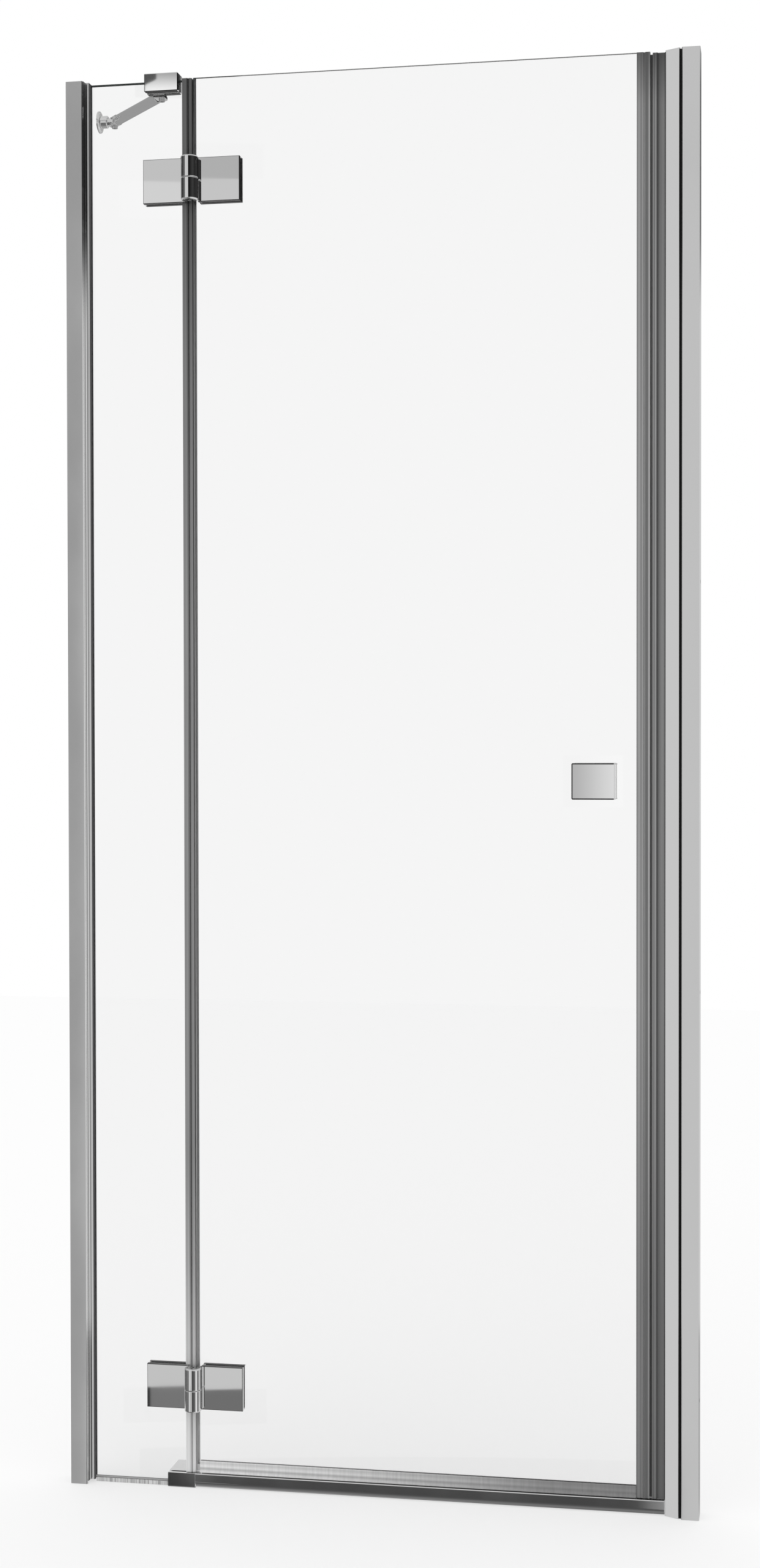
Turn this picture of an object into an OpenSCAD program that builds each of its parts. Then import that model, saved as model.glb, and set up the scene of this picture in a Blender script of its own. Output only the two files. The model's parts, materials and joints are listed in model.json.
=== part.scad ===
// Niche shower door. A narrow fixed pane stands in the left wall profile and
// carries a wide pane on two rising pivot hinges. The door opens outwards,
// towards -Y, and closes on a magnetic strike in the right wall profile.
// X runs along the opening, Y through the glass, Z up. The origin is on the
// tray, half way between the walls, in the middle of the glass.

/* [Opening] */
// Width between the two finished walls
opening_w = 893; // [820:1:1000]
// Height of the wall profiles and of the door pane above the tray
frame_h = 2000; // [1850:5:2200]

/* [Glass] */
// Thickness of both panes
glass_t = 6; // [5:0.5:8]
// Distance from the left wall to the free edge of the fixed pane
fixed_reach = 174; // [165:1:260]
// Gap between the two panes
pane_gap = 8.5; // [8:0.5:10]
// Height of the fixed pane above the tray
fixed_floor_gap = 6; // [5:0.5:9]
// Drop of the fixed pane's top edge below the top of the profiles
fixed_top_drop = 2; // [2:0.5:6]
// Height of the door pane above the top of the threshold rail
door_floor_gap = 12; // [12:0.5:18]

/* [Wall profiles] */
// Width of a wall profile's front face
wall_profile_w = 24.5; // [23:0.5:30]
// Depth of a wall profile through the glass direction
wall_profile_d = 36; // [34:1:44]
// Wall thickness of a wall profile
wall_profile_t = 1.8; // [1.4:0.1:2.4]
// Gap on each side of a profile that slides inside a wall profile
slide_gap = 0.4; // [0.3:0.05:0.6]
// Travel of the inner profiles towards the walls
adjust_travel = 8; // [4:1:8]
// Diameter of the wall screw holes
wall_screw_d = 5.5; // [4:0.5:7]
// Distance of the first and last wall screw from the profile's ends
wall_screw_inset = 160; // [100:10:300]
// Diameter of the screws that lock the inner profiles
lock_screw_d = 4; // [3:0.5:5]
// Distance of the first and last lock screw from the profile's ends
lock_screw_inset = 90; // [60:10:95]

/* [Glazing profile] */
// How far the glazing profile stands out of the left wall profile
glazing_out = 6.5; // [6:0.5:12]
// How deep the fixed pane sits in the glazing profile
glass_bite = 13; // [10:0.5:14]
// Wall thickness of the inner profiles
profile_t = 1.6; // [1.2:0.1:2]
// Thickness of the gasket on each side of the fixed pane
gasket_t = 2.4; // [2:0.1:3]
// Thickness of the plates that close the inner profiles
end_cap_t = 1.5; // [1:0.25:3]

/* [Strike] */
// How far the strike profile stands out of the right wall profile
strike_out = 22.5; // [20:0.5:30]
// Width of the shadow groove between the strike and the wall profile
groove_w = 2.7; // [2:0.1:5]
// Half depth of the strike profile where it meets the seal
strike_nose = 6; // [5:0.5:8]
// Width of the strike seal that stands free of its profile
strike_seal_w = 17.8; // [14:0.2:20]
// Gap between the two magnet strips with the door closed
magnet_gap = 3.4; // [2.4:0.2:6]
// How far the door's magnet seal stands out of the door pane
door_seal_out = 9.8; // [9:0.2:13]
// How far a clip-on seal reaches over the glass
seal_leg = 8.4; // [6:0.2:10]
// Wall thickness of the clear seals
seal_t = 0.8; // [0.6:0.05:0.9]

/* [Threshold] */
// Height of the threshold rail
rail_h = 21; // [18:0.5:26]
// Distance of the rail's front face in front of the glass centre
rail_front = 8; // [7:0.5:10]
// Distance of the rail's back edge behind the glass centre
rail_back = 37; // [30:1:50]
// Wall thickness of the rail
rail_t = 1.8; // [1.4:0.1:2.4]
// Radius of the rail's lower front edge
rail_r = 6; // [3:0.5:6]
// Width of the left end piece
left_end_w = 40; // [30:1:60]
// Distance of the left end piece's back edge behind the glass centre
left_end_back = 52; // [45:1:60]
// How far the left end piece reaches past the fixed pane
left_end_over = 6.8; // [5:0.2:7]
// Width of the right end piece
right_end_w = 15; // [10:0.5:25]

/* [Hinges] */
// Width of a hinge leaf
leaf_w = 60.4; // [50:0.2:65]
// Height of a hinge leaf and of the barrel
leaf_h = 62; // [60:1:80]
// Thickness of the front and back plates
plate_t = 7; // [6:0.5:9]
// Thickness of the pads between the plates and the glass
pad_t = 1; // [1:0.1:1.6]
// Diameter of the barrel
barrel_d = 24; // [23:0.5:26]
// Distance of the hinge axis in front of the leaf faces
axis_front = 9; // [8.5:0.5:11]
// Diameter of the hinge pins
pin_d = 8; // [6:0.5:9]
// Distance of each hinge's centre from the top and the bottom
hinge_inset = 145; // [120:5:300]
// Rise of the door over its whole swing
lift = 6; // [4:0.5:6]
// Largest opening angle of the door in degrees
swing_limit = 100; // [90:1:100]
// Diameter of the screws that clamp the plates
clamp_screw_d = 6; // [5:0.5:7]
// Distance between the two clamp screws of a leaf
clamp_screw_pitch = 32; // [28:1:36]

/* [Knobs] */
// Width of a knob
knob_w = 60; // [40:1:80]
// Height of a knob
knob_h = 50; // [40:1:80]
// Projection of a knob from its pad
knob_d = 17.5; // [15:0.5:30]
// Height of the knobs above the tray
knob_z = 1008; // [900:1:1150]
// Distance of the knobs' centre from the door pane's free edge
knob_inset = 66; // [55:1:100]
// Diameter of the stud that joins the knobs
stud_d = 6; // [5:0.5:8]

/* [Brace] */
// Width of the clamp on the fixed pane
clamp_w = 49; // [44:1:60]
// Height of the clamp
clamp_h = 25.5; // [24:0.5:32]
// Height of the clamp's top above the fixed pane
clamp_rise = 9; // [6:0.5:12]
// Distance of the clamp's front face from the glass centre
clamp_front = 12; // [10:0.5:15]
// Distance of the clamp's back face from the glass centre
clamp_back = 16; // [15:0.5:20]
// Distance of the clamp's centre from the fixed pane's free edge
clamp_inset = 36; // [34:1:60]
// Diameter of the brace bar
bar_d = 15; // [14:0.5:18]
// Distance of the wall-side pivot from the wall
wall_pivot_x = 24; // [23:0.5:30]
// Distance of the wall-side pivot behind the glass centre
wall_pivot_y = 141.5; // [120:1:180]
// Diameter of the flange on the wall
flange_d = 32; // [28:1:40]
// Diameter of the wall screw hole in the flange
flange_screw_d = 5.2; // [4:0.2:6]

/* [Hidden] */
$fn = 48;

// Fits. A running fit is the radial play of a shaft, a part gap keeps moving
// bodies apart, and a seat gap lies between pieces of one body.
running_fit = 0.05;
part_gap = 0.4;
seat_gap = 0.1;

left_wall = -opening_w / 2;
right_wall = opening_w / 2;
glass_half = glass_t / 2;

// Inner profiles
inner_start = wall_profile_t + adjust_travel + 2;
inner_half = wall_profile_d / 2 - wall_profile_t - slide_gap;
glazing_reach = wall_profile_w + glazing_out;
glazing_shoulder = wall_profile_w + 1;
nose_half = glass_half + gasket_t + profile_t;
strike_reach = wall_profile_w + strike_out;
inner_top = frame_h - end_cap_t;
lock_x = wall_profile_w - 5;
lock_tip = part_gap;

// Panes
fixed_left = left_wall + glazing_reach - glass_bite;
fixed_right = left_wall + fixed_reach;
fixed_top = frame_h - fixed_top_drop;
door_left = fixed_right + pane_gap;
door_right = right_wall - strike_reach - strike_seal_w - magnet_gap - door_seal_out;
door_bottom = rail_h + door_floor_gap;

// Hinges
axis_x = door_left - 1;
plate_front = glass_half + pad_t + plate_t;
axis_y = -(plate_front + axis_front);
barrel_r = barrel_d / 2;
// The plates start beside the barrel, just clear of its circle
leaf_start = sqrt(pow(barrel_r + 1.2, 2) - pow(axis_front, 2));
leaf_mid = leaf_start + leaf_w / 2;
pad_start = axis_x - fixed_right + seal_leg - 0.9;
pad_w = leaf_start + leaf_w - 1 - pad_start;
hinge_z_top = frame_h - hinge_inset;
hinge_z_bottom = hinge_inset;
seam_gap = 0.4;
cam_r = pin_d / 2 + 4.3;
tooth_r = cam_r - 0.3;
cam_seat_r = cam_r + running_fit;
pin_bore_r = pin_d / 2 + running_fit;
rise_per_degree = lift / swing_limit;
tooth_half = rise_per_degree * 180 / 2;
tooth_zone = tooth_half + 0.6;
cam_depth = 20;
pin_seat = 26;
cap_seat = 28.4;
cam_key_w = 3;
cam_key_out = 1;
flank_angle = 4;
flank_gap_angle = 4;
cam_gap = 0.2;
leaf_bevel = 0.8;
screw_head_d = clamp_screw_d * 1.7;
screw_head_y = plate_front - 4;
sleeve_d = clamp_screw_d + 5.5;
glass_hole_d = sleeve_d + 1;

// Door and strike seals
strike_seal_left = right_wall - strike_reach - strike_seal_w;
door_seal_right = strike_seal_left - magnet_gap;
magnet_half = 3.2;
magnet_w = 5;
magnet_box_w = magnet_w + 2 * (seal_t + seat_gap);
strike_slot_half = 1.6;
strike_slot_depth = 5;
groove_depth = 2.5;
strike_cavity_half = inner_half - groove_depth - profile_t;

// Threshold
left_end_right = fixed_right + left_end_over;
left_end_left = left_end_right - left_end_w;
right_end_right = right_wall - strike_reach - 0.6;
right_end_left = right_end_right - right_end_w;

// Knobs
knob_x = door_right - knob_inset;
knob_base = glass_half + pad_t;
stud_hole_d = stud_d + 4;

// Brace
clamp_x = fixed_right - clamp_inset;
clamp_top = fixed_top + clamp_rise;
clamp_bottom = clamp_top - clamp_h;
pressure_plate_t = 1.5;
ear_r = 8;
eye_t = 5;
ear_t = 3.2;
eye_play = 0.3;
pivot_screw_d = 5;
brace_z = clamp_bottom + 3;
clamp_pivot = [clamp_x - 8, clamp_back + ear_r];
wall_pivot = [left_wall + wall_pivot_x, wall_pivot_y];
brace_step = wall_pivot - clamp_pivot;
brace_len = norm(brace_step);
brace_angle = atan2(brace_step[1], brace_step[0]);
fitting_start = ear_r + 2;
plug_len = 12;
bar_t = 1.5;
bar_start = fitting_start + 3;
neck_d = bar_d + 3;
neck_cup_d = neck_d - 4;
flange_disc_t = 3;

// Points of an arc around c, from angle a to angle b
function arc(c, r, a, b, n = 8) =
    [for (i = [0 : n]) c + r * [cos(a + (b - a) * i / n), sin(a + (b - a) * i / n)]];

// Points of a rectangle from p to q with corners of radius r
function round_box(p, q, r) = concat(
    arc([q[0] - r, q[1] - r], r, 0, 90), arc([p[0] + r, q[1] - r], r, 90, 180),
    arc([p[0] + r, p[1] + r], r, 180, 270), arc([q[0] - r, p[1] + r], r, 270, 360));

// Points, followed by their mirror images across the X axis from last to first
function mirrored(points) = concat(points,
    [for (i = [len(points) - 1 : -1 : 0]) [points[i][0], -points[i][1]]]);

// An outline in X and Y, pulled up from z0 to z1
module upright(z0, z1) { translate([0, 0, z0]) linear_extrude(z1 - z0) children(); }

// An outline in Y and Z, pulled along X from x0 to x1
module lengthwise(x0, x1) { translate([x0, 0, 0]) rotate([90, 0, 90]) linear_extrude(x1 - x0) children(); }

// A cylinder along Y from y0 to y1
module across(x, z, d, y0, y1) { translate([x, y0, z]) rotate([-90, 0, 0]) cylinder(d = d, h = y1 - y0); }

module from_left() { translate([left_wall, 0, 0]) children(); }
module from_right() { translate([right_wall, 0, 0]) mirror([1, 0, 0]) children(); }
module at_hinge(z) { translate([axis_x, axis_y, z]) children(); }
module at_both_hinges() { for (z = [hinge_z_top, hinge_z_bottom]) at_hinge(z) children(); }
module at_clamp_pivot() { translate([clamp_pivot[0], clamp_pivot[1], brace_z]) children(); }
module at_wall_pivot() { translate([wall_pivot[0], wall_pivot[1], brace_z]) children(); }
// Along the brace, with +X from the clamp pivot to the wall pivot
module along_brace() { at_clamp_pivot() rotate([0, 0, brace_angle]) children(); }

// Wall profiles

function spread(first, last, count) = [for (i = [0 : count - 1]) first + (last - first) * i / (count - 1)];
wall_screw_heights = spread(wall_screw_inset, frame_h - wall_screw_inset, 4);
lock_heights = spread(lock_screw_inset, frame_h - lock_screw_inset, 3);

module wall_channel() {
    half = wall_profile_d / 2;
    lip_r = wall_profile_t - 0.2;
    difference() {
        upright(0, frame_h) difference() {
            polygon(mirrored(concat([[0, -half + 0.5], [0.5, -half]],
                arc([wall_profile_w - lip_r, -half + lip_r], lip_r, 270, 360))));
            translate([wall_profile_t, -half + wall_profile_t])
                square([wall_profile_w, wall_profile_d - 2 * wall_profile_t]);
        }
        for (z = wall_screw_heights) translate([-1, 0, z]) rotate([0, 90, 0])
            cylinder(d = wall_screw_d, h = wall_profile_t + 2);
        for (z = lock_heights) across(lock_x, z, lock_screw_d + 2 * running_fit, 0, half + 1);
    }
}
module wall_profile_left() { color("silver") from_left() wall_channel(); }
module wall_profile_right() { color("silver") from_right() wall_channel(); }

module lock_screw() {
    half = wall_profile_d / 2;
    across(0, 0, lock_screw_d, inner_half + lock_tip, half + 0.5);
    difference() {
        across(0, 0, lock_screw_d + 3, half + 0.1, half + 2.2);
        across(0, 0, 2.5, half + 1, half + 3);
    }
}
module lock_screws() {
    color("gray") for (z = lock_heights) {
        from_left() translate([lock_x, 0, z]) lock_screw();
        from_right() translate([lock_x, 0, z]) lock_screw();
    }
}

// Fixed pane and its glazing profile

// Outline of the glazing profile, measured from the left wall
glazing_outline = mirrored([
    [inner_start, -inner_half], [glazing_shoulder - 0.6, -inner_half],
    [glazing_shoulder, -inner_half + 0.6], [glazing_shoulder, -nose_half - 1],
    [glazing_shoulder + 1, -nose_half], [glazing_reach, -nose_half]]);

module glazing_profile() {
    web_x = glazing_reach - glass_bite - 2;
    slot_half = nose_half - profile_t;
    color("silver") from_left() upright(4, inner_top) {
        difference() {
            polygon(glazing_outline);
            translate([inner_start + profile_t, -inner_half + profile_t])
                square([glazing_shoulder - inner_start - 2 * profile_t, 2 * (inner_half - profile_t)]);
            translate([web_x, -slot_half]) square([glazing_reach, 2 * slot_half]);
        }
        difference() {
            translate([web_x - profile_t, -nose_half])
                square([glazing_shoulder - web_x + profile_t, 2 * nose_half]);
            translate([web_x, -slot_half]) square([glazing_reach, 2 * slot_half]);
        }
    }
}
module glazing_cap() {
    color("silver") from_left() {
        upright(inner_top, frame_h) polygon(glazing_outline);
        // A tongue in the chamber on each side of the glass
        for (side = [0, 1]) mirror([0, side, 0]) upright(inner_top - 6, inner_top)
            translate([inner_start + profile_t + seat_gap, nose_half + seat_gap])
                square([4, inner_half - profile_t - nose_half - 2 * seat_gap]);
    }
}
module glazing_gasket() {
    outer = glass_half + gasket_t;
    from_left() upright(4, inner_top - 0.5) polygon([
        [glazing_reach - glass_bite + 1, glass_half], [glazing_reach + 1.6, glass_half],
        [glazing_reach + 1.2, outer + profile_t - 0.4], [glazing_reach + 0.1, outer + profile_t - 0.2],
        [glazing_reach + 0.1, outer - 0.3], [glazing_reach - 3, outer],
        [glazing_reach - glass_bite + 1, outer - 0.5]]);
}
module glazing_gasket_inner() { color("dimgray") glazing_gasket(); }
module glazing_gasket_outer() { color("dimgray") mirror([0, 1, 0]) glazing_gasket(); }

// Offsets of the two clamp screws of a leaf
screw_offsets = [-clamp_screw_pitch / 2, clamp_screw_pitch / 2];

// Holes along Y through whatever a leaf clamps; side is -1 for the fixed leaf
module leaf_holes(side, d, y0, y1) {
    for (z = [hinge_z_top, hinge_z_bottom], dz = screw_offsets)
        across(axis_x + side * leaf_mid, z + dz, d, y0, y1);
}
module pane(x0, x1, z0, z1) { translate([x0, -glass_half, z0]) cube([x1 - x0, glass_t, z1 - z0]); }

module fixed_glass() {
    color("lightcyan", 0.35) difference() {
        pane(fixed_left, fixed_right, fixed_floor_gap, fixed_top);
        leaf_holes(-1, glass_hole_d, -glass_t, glass_t);
    }
}
module sill_strip() {
    x0 = left_wall + glazing_reach + 2;
    color("whitesmoke", 0.6) translate([x0, -glass_half, part_gap])
        cube([left_end_left - x0 - part_gap, glass_t, fixed_floor_gap - part_gap]);
}

// Clear seal on the fixed pane's edge: a clip, a hollow bulb in the gap and a
// lip behind the door pane
module post_seal() {
    bulb_r = (pane_gap - seal_t) / 2 - 0.75;
    bulb_x = fixed_right + seal_t + bulb_r - 0.2;
    lip_y = glass_half + 0.6;
    color("whitesmoke", 0.6) upright(rail_h + 0.5, frame_h) {
        for (side = [-1, 1])
            translate([fixed_right - seal_leg + 1, side * glass_half - (side < 0 ? seal_t : 0)])
                square([seal_leg - 1, seal_t]);
        translate([fixed_right, -glass_half - seal_t]) square([seal_t, glass_t + 2 * seal_t]);
        difference() {
            translate([bulb_x, 0]) circle(r = bulb_r);
            translate([bulb_x, 0]) circle(r = bulb_r - 0.7);
            translate([fixed_right - 5, -10]) square([5 + seal_t / 2, 20]);
        }
        polygon([[fixed_right, glass_half], [fixed_right + seal_t, lip_y],
            [door_left + 3.5, lip_y], [door_left + 3.5, lip_y + seal_t], [fixed_right, lip_y + seal_t]]);
    }
}

// Hinges

// Half of a barrel: a turned shell from the seam up, with seats for the cam,
// the pin and the end cap
module knuckle() {
    end = leaf_h / 2;
    start = seam_gap / 2;
    difference() {
        rotate_extrude() polygon(concat(
            [[0, start], [barrel_r - 0.5, start], [barrel_r, start + 0.5]],
            arc([barrel_r - 2, end - 2], 2, 0, 90), [[0, end]]));
        translate([0, 0, -1]) cylinder(r = cam_seat_r, h = cam_depth + 1);
        cylinder(r = pin_bore_r, h = pin_seat + 1);
        translate([0, 0, pin_seat]) cylinder(r = cam_r + 0.2, h = end);
        translate([cam_r - 1, -cam_key_w / 2 - seat_gap / 2, tooth_zone - 0.5])
            cube([1 + cam_key_out + seat_gap, cam_key_w + seat_gap, cam_depth - tooth_zone + 0.5]);
    }
}

// Link between the knuckle and the front plate, on the door's side
module knuckle_web() {
    y_front = axis_front;
    y_back = axis_front + plate_t;
    difference() {
        upright(seam_gap / 2, leaf_h / 2 - 1) polygon([
            [0, -barrel_r * 0.7], [barrel_r * 0.75, -barrel_r * 0.62], [leaf_start + 1, y_front + 1],
            [leaf_start + 3, y_front + 1], [leaf_start + 3, y_back], [leaf_start, y_back],
            [barrel_r * 0.5, barrel_r * 0.84], [0, barrel_r * 0.8]]);
        translate([0, 0, -1]) cylinder(r = barrel_r - 1.5, h = leaf_h);
    }
}

// A plate with bevelled edges on its outer side, at y0; side turns it round
module bevel_plate(x0, x1, y0, y1, z0, z1, b) {
    intersection() {
        upright(z0, z1)
            polygon([[x0, y1], [x0, y0 + b], [x0 + b, y0], [x1 - b, y0], [x1, y0 + b], [x1, y1]]);
        lengthwise(x0, x1)
            polygon([[y1, z0], [y0 + b, z0], [y0, z0 + b], [y0, z1 - b], [y0 + b, z1], [y1, z1]]);
    }
}

// Front plate with its half of the barrel; a door leaf has the upper half
module door_leaf() {
    y_front = axis_front;
    y_back = axis_front + plate_t;
    difference() {
        union() {
            bevel_plate(leaf_start, leaf_start + leaf_w, y_front, y_back,
                -leaf_h / 2, leaf_h / 2, leaf_bevel);
            knuckle_web();
        }
        for (dz = screw_offsets)
            across(leaf_mid, dz, clamp_screw_d + 2 * running_fit, y_front + 2, y_back + 1);
    }
    knuckle();
}
// A fixed leaf is a door leaf turned round its X axis and mirrored
module fixed_leaf() { mirror([1, 0, 0]) mirror([0, 0, 1]) door_leaf(); }

module door_leaf_top() { color("lightgray") at_hinge(hinge_z_top) door_leaf(); }
module door_leaf_bottom() { color("lightgray") at_hinge(hinge_z_bottom) door_leaf(); }
module fixed_leaf_top() { color("lightgray") at_hinge(hinge_z_top) fixed_leaf(); }
module fixed_leaf_bottom() { color("lightgray") at_hinge(hinge_z_bottom) fixed_leaf(); }

module back_plate(side, z) {
    x0 = axis_x + (side > 0 ? leaf_start : -leaf_start - leaf_w);
    difference() {
        translate([0, 0, z]) mirror([0, 1, 0]) bevel_plate(x0, x0 + leaf_w,
            -plate_front, -glass_half - pad_t, -leaf_h / 2, leaf_h / 2, leaf_bevel);
        leaf_holes(side, clamp_screw_d + 0.6, 0, plate_front + 1);
        leaf_holes(side, screw_head_d + 0.4, screw_head_y, plate_front + 1);
    }
}
module door_back_plate_top() { color("lightgray") back_plate(1, hinge_z_top); }
module door_back_plate_bottom() { color("lightgray") back_plate(1, hinge_z_bottom); }
module fixed_back_plate_top() { color("lightgray") back_plate(-1, hinge_z_top); }
module fixed_back_plate_bottom() { color("lightgray") back_plate(-1, hinge_z_bottom); }

// Pads on both faces of the glass; the front pads carry the sleeves that line
// the holes in the glass
module leaf_pads(side) {
    x0 = axis_x + (side > 0 ? pad_start : -pad_start - pad_w);
    for (z = [hinge_z_top, hinge_z_bottom]) difference() {
        union() {
            for (y = [-glass_half - pad_t, glass_half])
                translate([x0, y, z - leaf_h / 2 + 1]) cube([pad_w, pad_t, leaf_h - 2]);
            for (dz = screw_offsets)
                across(axis_x + side * leaf_mid, z + dz, sleeve_d, -glass_half - pad_t, glass_half - 0.2);
        }
        for (dz = screw_offsets) across(axis_x + side * leaf_mid, z + dz, clamp_screw_d + 0.6, -10, 10);
    }
}
module door_pads() { color("dimgray") leaf_pads(1); }
module fixed_pads() { color("dimgray") leaf_pads(-1); }

module leaf_screws(side) {
    for (z = [hinge_z_top, hinge_z_bottom], dz = screw_offsets) {
        x = axis_x + side * leaf_mid;
        difference() {
            union() {
                across(x, z + dz, clamp_screw_d, -plate_front + 2.4, screw_head_y + 1);
                across(x, z + dz, screw_head_d, screw_head_y, plate_front - 0.8);
            }
            translate([x, plate_front, z + dz]) rotate([90, 0, 0])
                cylinder(d = clamp_screw_d * 0.75, h = 2.6, $fn = 6);
        }
    }
}
module door_leaf_screws() { color("gray") leaf_screws(1); }
module fixed_leaf_screws() { color("gray") leaf_screws(-1); }

// Rising cams. Each has two helical ramps that fall through 180 degrees and a
// steep flank between them. The door cam rests on the fixed one and climbs it
// by the lift as the door swings.

ramp_steps = 32;
function ramp_angles(start) = [for (lobe = [0, 1], i = [0 : ramp_steps])
    start + 180 * lobe + (180 - flank_angle) * i / ramp_steps];
function ramp_heights(high) = [for (lobe = [0, 1], i = [0 : ramp_steps])
    high - rise_per_degree * (180 - flank_angle) * i / ramp_steps];

// A ring of wedges, a little wider than a cam, from z_flat to the ramps
module ramp_ring(angles, heights, z_flat) {
    n = len(angles);
    inner = pin_d / 2 - 0.5;
    outer = cam_r + 0.5;
    function at(r, i, z) = [r * cos(angles[i]), r * sin(angles[i]), z];
    points = [for (i = [0 : n - 1]) each [
        at(inner, i, z_flat), at(outer, i, z_flat), at(outer, i, heights[i]), at(inner, i, heights[i])]];
    below = z_flat < heights[0];
    faces = [for (i = [0 : n - 1], k = [0 : 3])
        let (a = 4 * i + k, b = 4 * i + (k + 1) % 4,
             c = 4 * ((i + 1) % n) + (k + 1) % 4, d = 4 * ((i + 1) % n) + k)
        each (below ? [[a, b, c], [a, c, d]] : [[c, b, a], [d, c, a]])];
    polyhedron(points, faces, convexity = 6);
}
module cam_tube(z0, z1, r) {
    difference() {
        translate([0, 0, z0]) cylinder(r = r, h = z1 - z0);
        translate([0, 0, z0 - 1]) cylinder(r = pin_bore_r, h = z1 - z0 + 2);
    }
}
module cam_key(z0, z1) {
    translate([cam_r - 0.5, -cam_key_w / 2, z0]) cube([cam_key_out + 0.5, cam_key_w, z1 - z0]);
}
module fixed_cam() {
    intersection() {
        cam_tube(-tooth_zone, tooth_zone, tooth_r);
        ramp_ring(ramp_angles(0), ramp_heights(tooth_half), -tooth_zone - 2);
    }
    cam_tube(-cam_depth, -tooth_zone, cam_r);
    mirror([1, 0, 0]) cam_key(-cam_depth, -tooth_zone);
}
module door_cam() {
    high = tooth_half + rise_per_degree * flank_gap_angle + cam_gap;
    intersection() {
        cam_tube(-tooth_zone, tooth_zone, tooth_r);
        ramp_ring(ramp_angles(-flank_gap_angle), ramp_heights(high), tooth_zone + 2);
    }
    cam_tube(tooth_zone, cam_depth, cam_r);
    cam_key(tooth_zone, cam_depth);
}
module fixed_cam_top() { color("white") at_hinge(hinge_z_top) fixed_cam(); }
module fixed_cam_bottom() { color("white") at_hinge(hinge_z_bottom) fixed_cam(); }
module door_cam_top() { color("white") at_hinge(hinge_z_top) door_cam(); }
module door_cam_bottom() { color("white") at_hinge(hinge_z_bottom) door_cam(); }

// The pin hangs by its head in the door's knuckle and rises with the door
module hinge_pin(z) {
    color("gray") at_hinge(z) {
        translate([0, 0, -pin_seat]) cylinder(d = pin_d, h = 2 * pin_seat + 1);
        translate([0, 0, pin_seat + seat_gap]) cylinder(r = cam_r - 1.8, h = 2);
    }
}
module hinge_pin_top() { hinge_pin(hinge_z_top); }
module hinge_pin_bottom() { hinge_pin(hinge_z_bottom); }

module barrel_cap() {
    difference() {
        rotate_extrude() polygon([[0, cap_seat], [cam_r, cap_seat], [cam_r, leaf_h / 2 - 0.4],
            [cam_r - 0.4, leaf_h / 2], [0, leaf_h / 2]]);
        translate([0, 0, leaf_h / 2 - 1.2]) cylinder(d = 5, h = 2, $fn = 6);
    }
}
module door_barrel_caps() { color("silver") at_both_hinges() barrel_cap(); }
module fixed_barrel_caps() { color("silver") at_both_hinges() mirror([0, 0, 1]) barrel_cap(); }

// Door pane, its seals and knobs

module door_glass() {
    color("lightcyan", 0.35) difference() {
        pane(door_left, door_right, door_bottom, frame_h);
        leaf_holes(1, glass_hole_d, -glass_t, glass_t);
        across(knob_x, knob_z, stud_hole_d, -glass_t, glass_t);
    }
}
module door_bottom_seal() {
    leg_top = door_bottom + 5.5;
    web = door_bottom - seal_t;
    tip = rail_h + 1;
    out = glass_half + seal_t;
    color("whitesmoke", 0.6) lengthwise(door_left + 4.5, door_right - seal_leg - 0.3) {
        for (side = [-1, 1])
            translate([side * (glass_half + seal_t / 2) - seal_t / 2, web]) square([seal_t, leg_top - web]);
        translate([-out, web]) square([2 * out, seal_t]);
        polygon([[-out, web + 0.2], [-out, web - 3], [-out - 1.6, tip], [-out - 0.8, tip],
            [-out + seal_t, web - 2.6], [-out + seal_t, web + 0.2]]);
        polygon([[0, web + 0.2], [out + 2, tip], [out + 3, tip], [seal_t + 0.4, web + 0.2]]);
    }
}

// Clear magnet seal: a clip on the pane and a box round the magnet strip
module magnet_box(x0, x1) {
    outer = magnet_half + seal_t;
    difference() {
        polygon(round_box([x0, -outer], [x1, outer], 0.6));
        translate([x0 + seal_t, -magnet_half]) square([x1 - x0 - 2 * seal_t, 2 * magnet_half]);
    }
}
module door_magnet_seal() {
    color("whitesmoke", 0.6) upright(rail_h + 1, frame_h) {
        for (side = [-1, 1])
            translate([door_right - seal_leg, side * glass_half - (side < 0 ? seal_t : 0)])
                square([seal_leg + seal_t, seal_t]);
        translate([door_right, -glass_half - seal_t]) square([seal_t, glass_t + 2 * seal_t]);
        magnet_box(door_seal_right - magnet_box_w, door_seal_right);
        for (side = [-1, 1]) translate([door_right, side * (glass_half - 1.2) - seal_t / 2])
            square([door_seal_out - magnet_box_w + seal_t / 2, seal_t]);
    }
}
module door_magnet() {
    magnet_x = door_seal_right - seal_t - seat_gap - magnet_w;
    color("dimgray") translate([magnet_x, -magnet_half + seat_gap, rail_h + 2])
        cube([magnet_w, 2 * (magnet_half - seat_gap), frame_h - rail_h - 3]);
}

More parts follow.
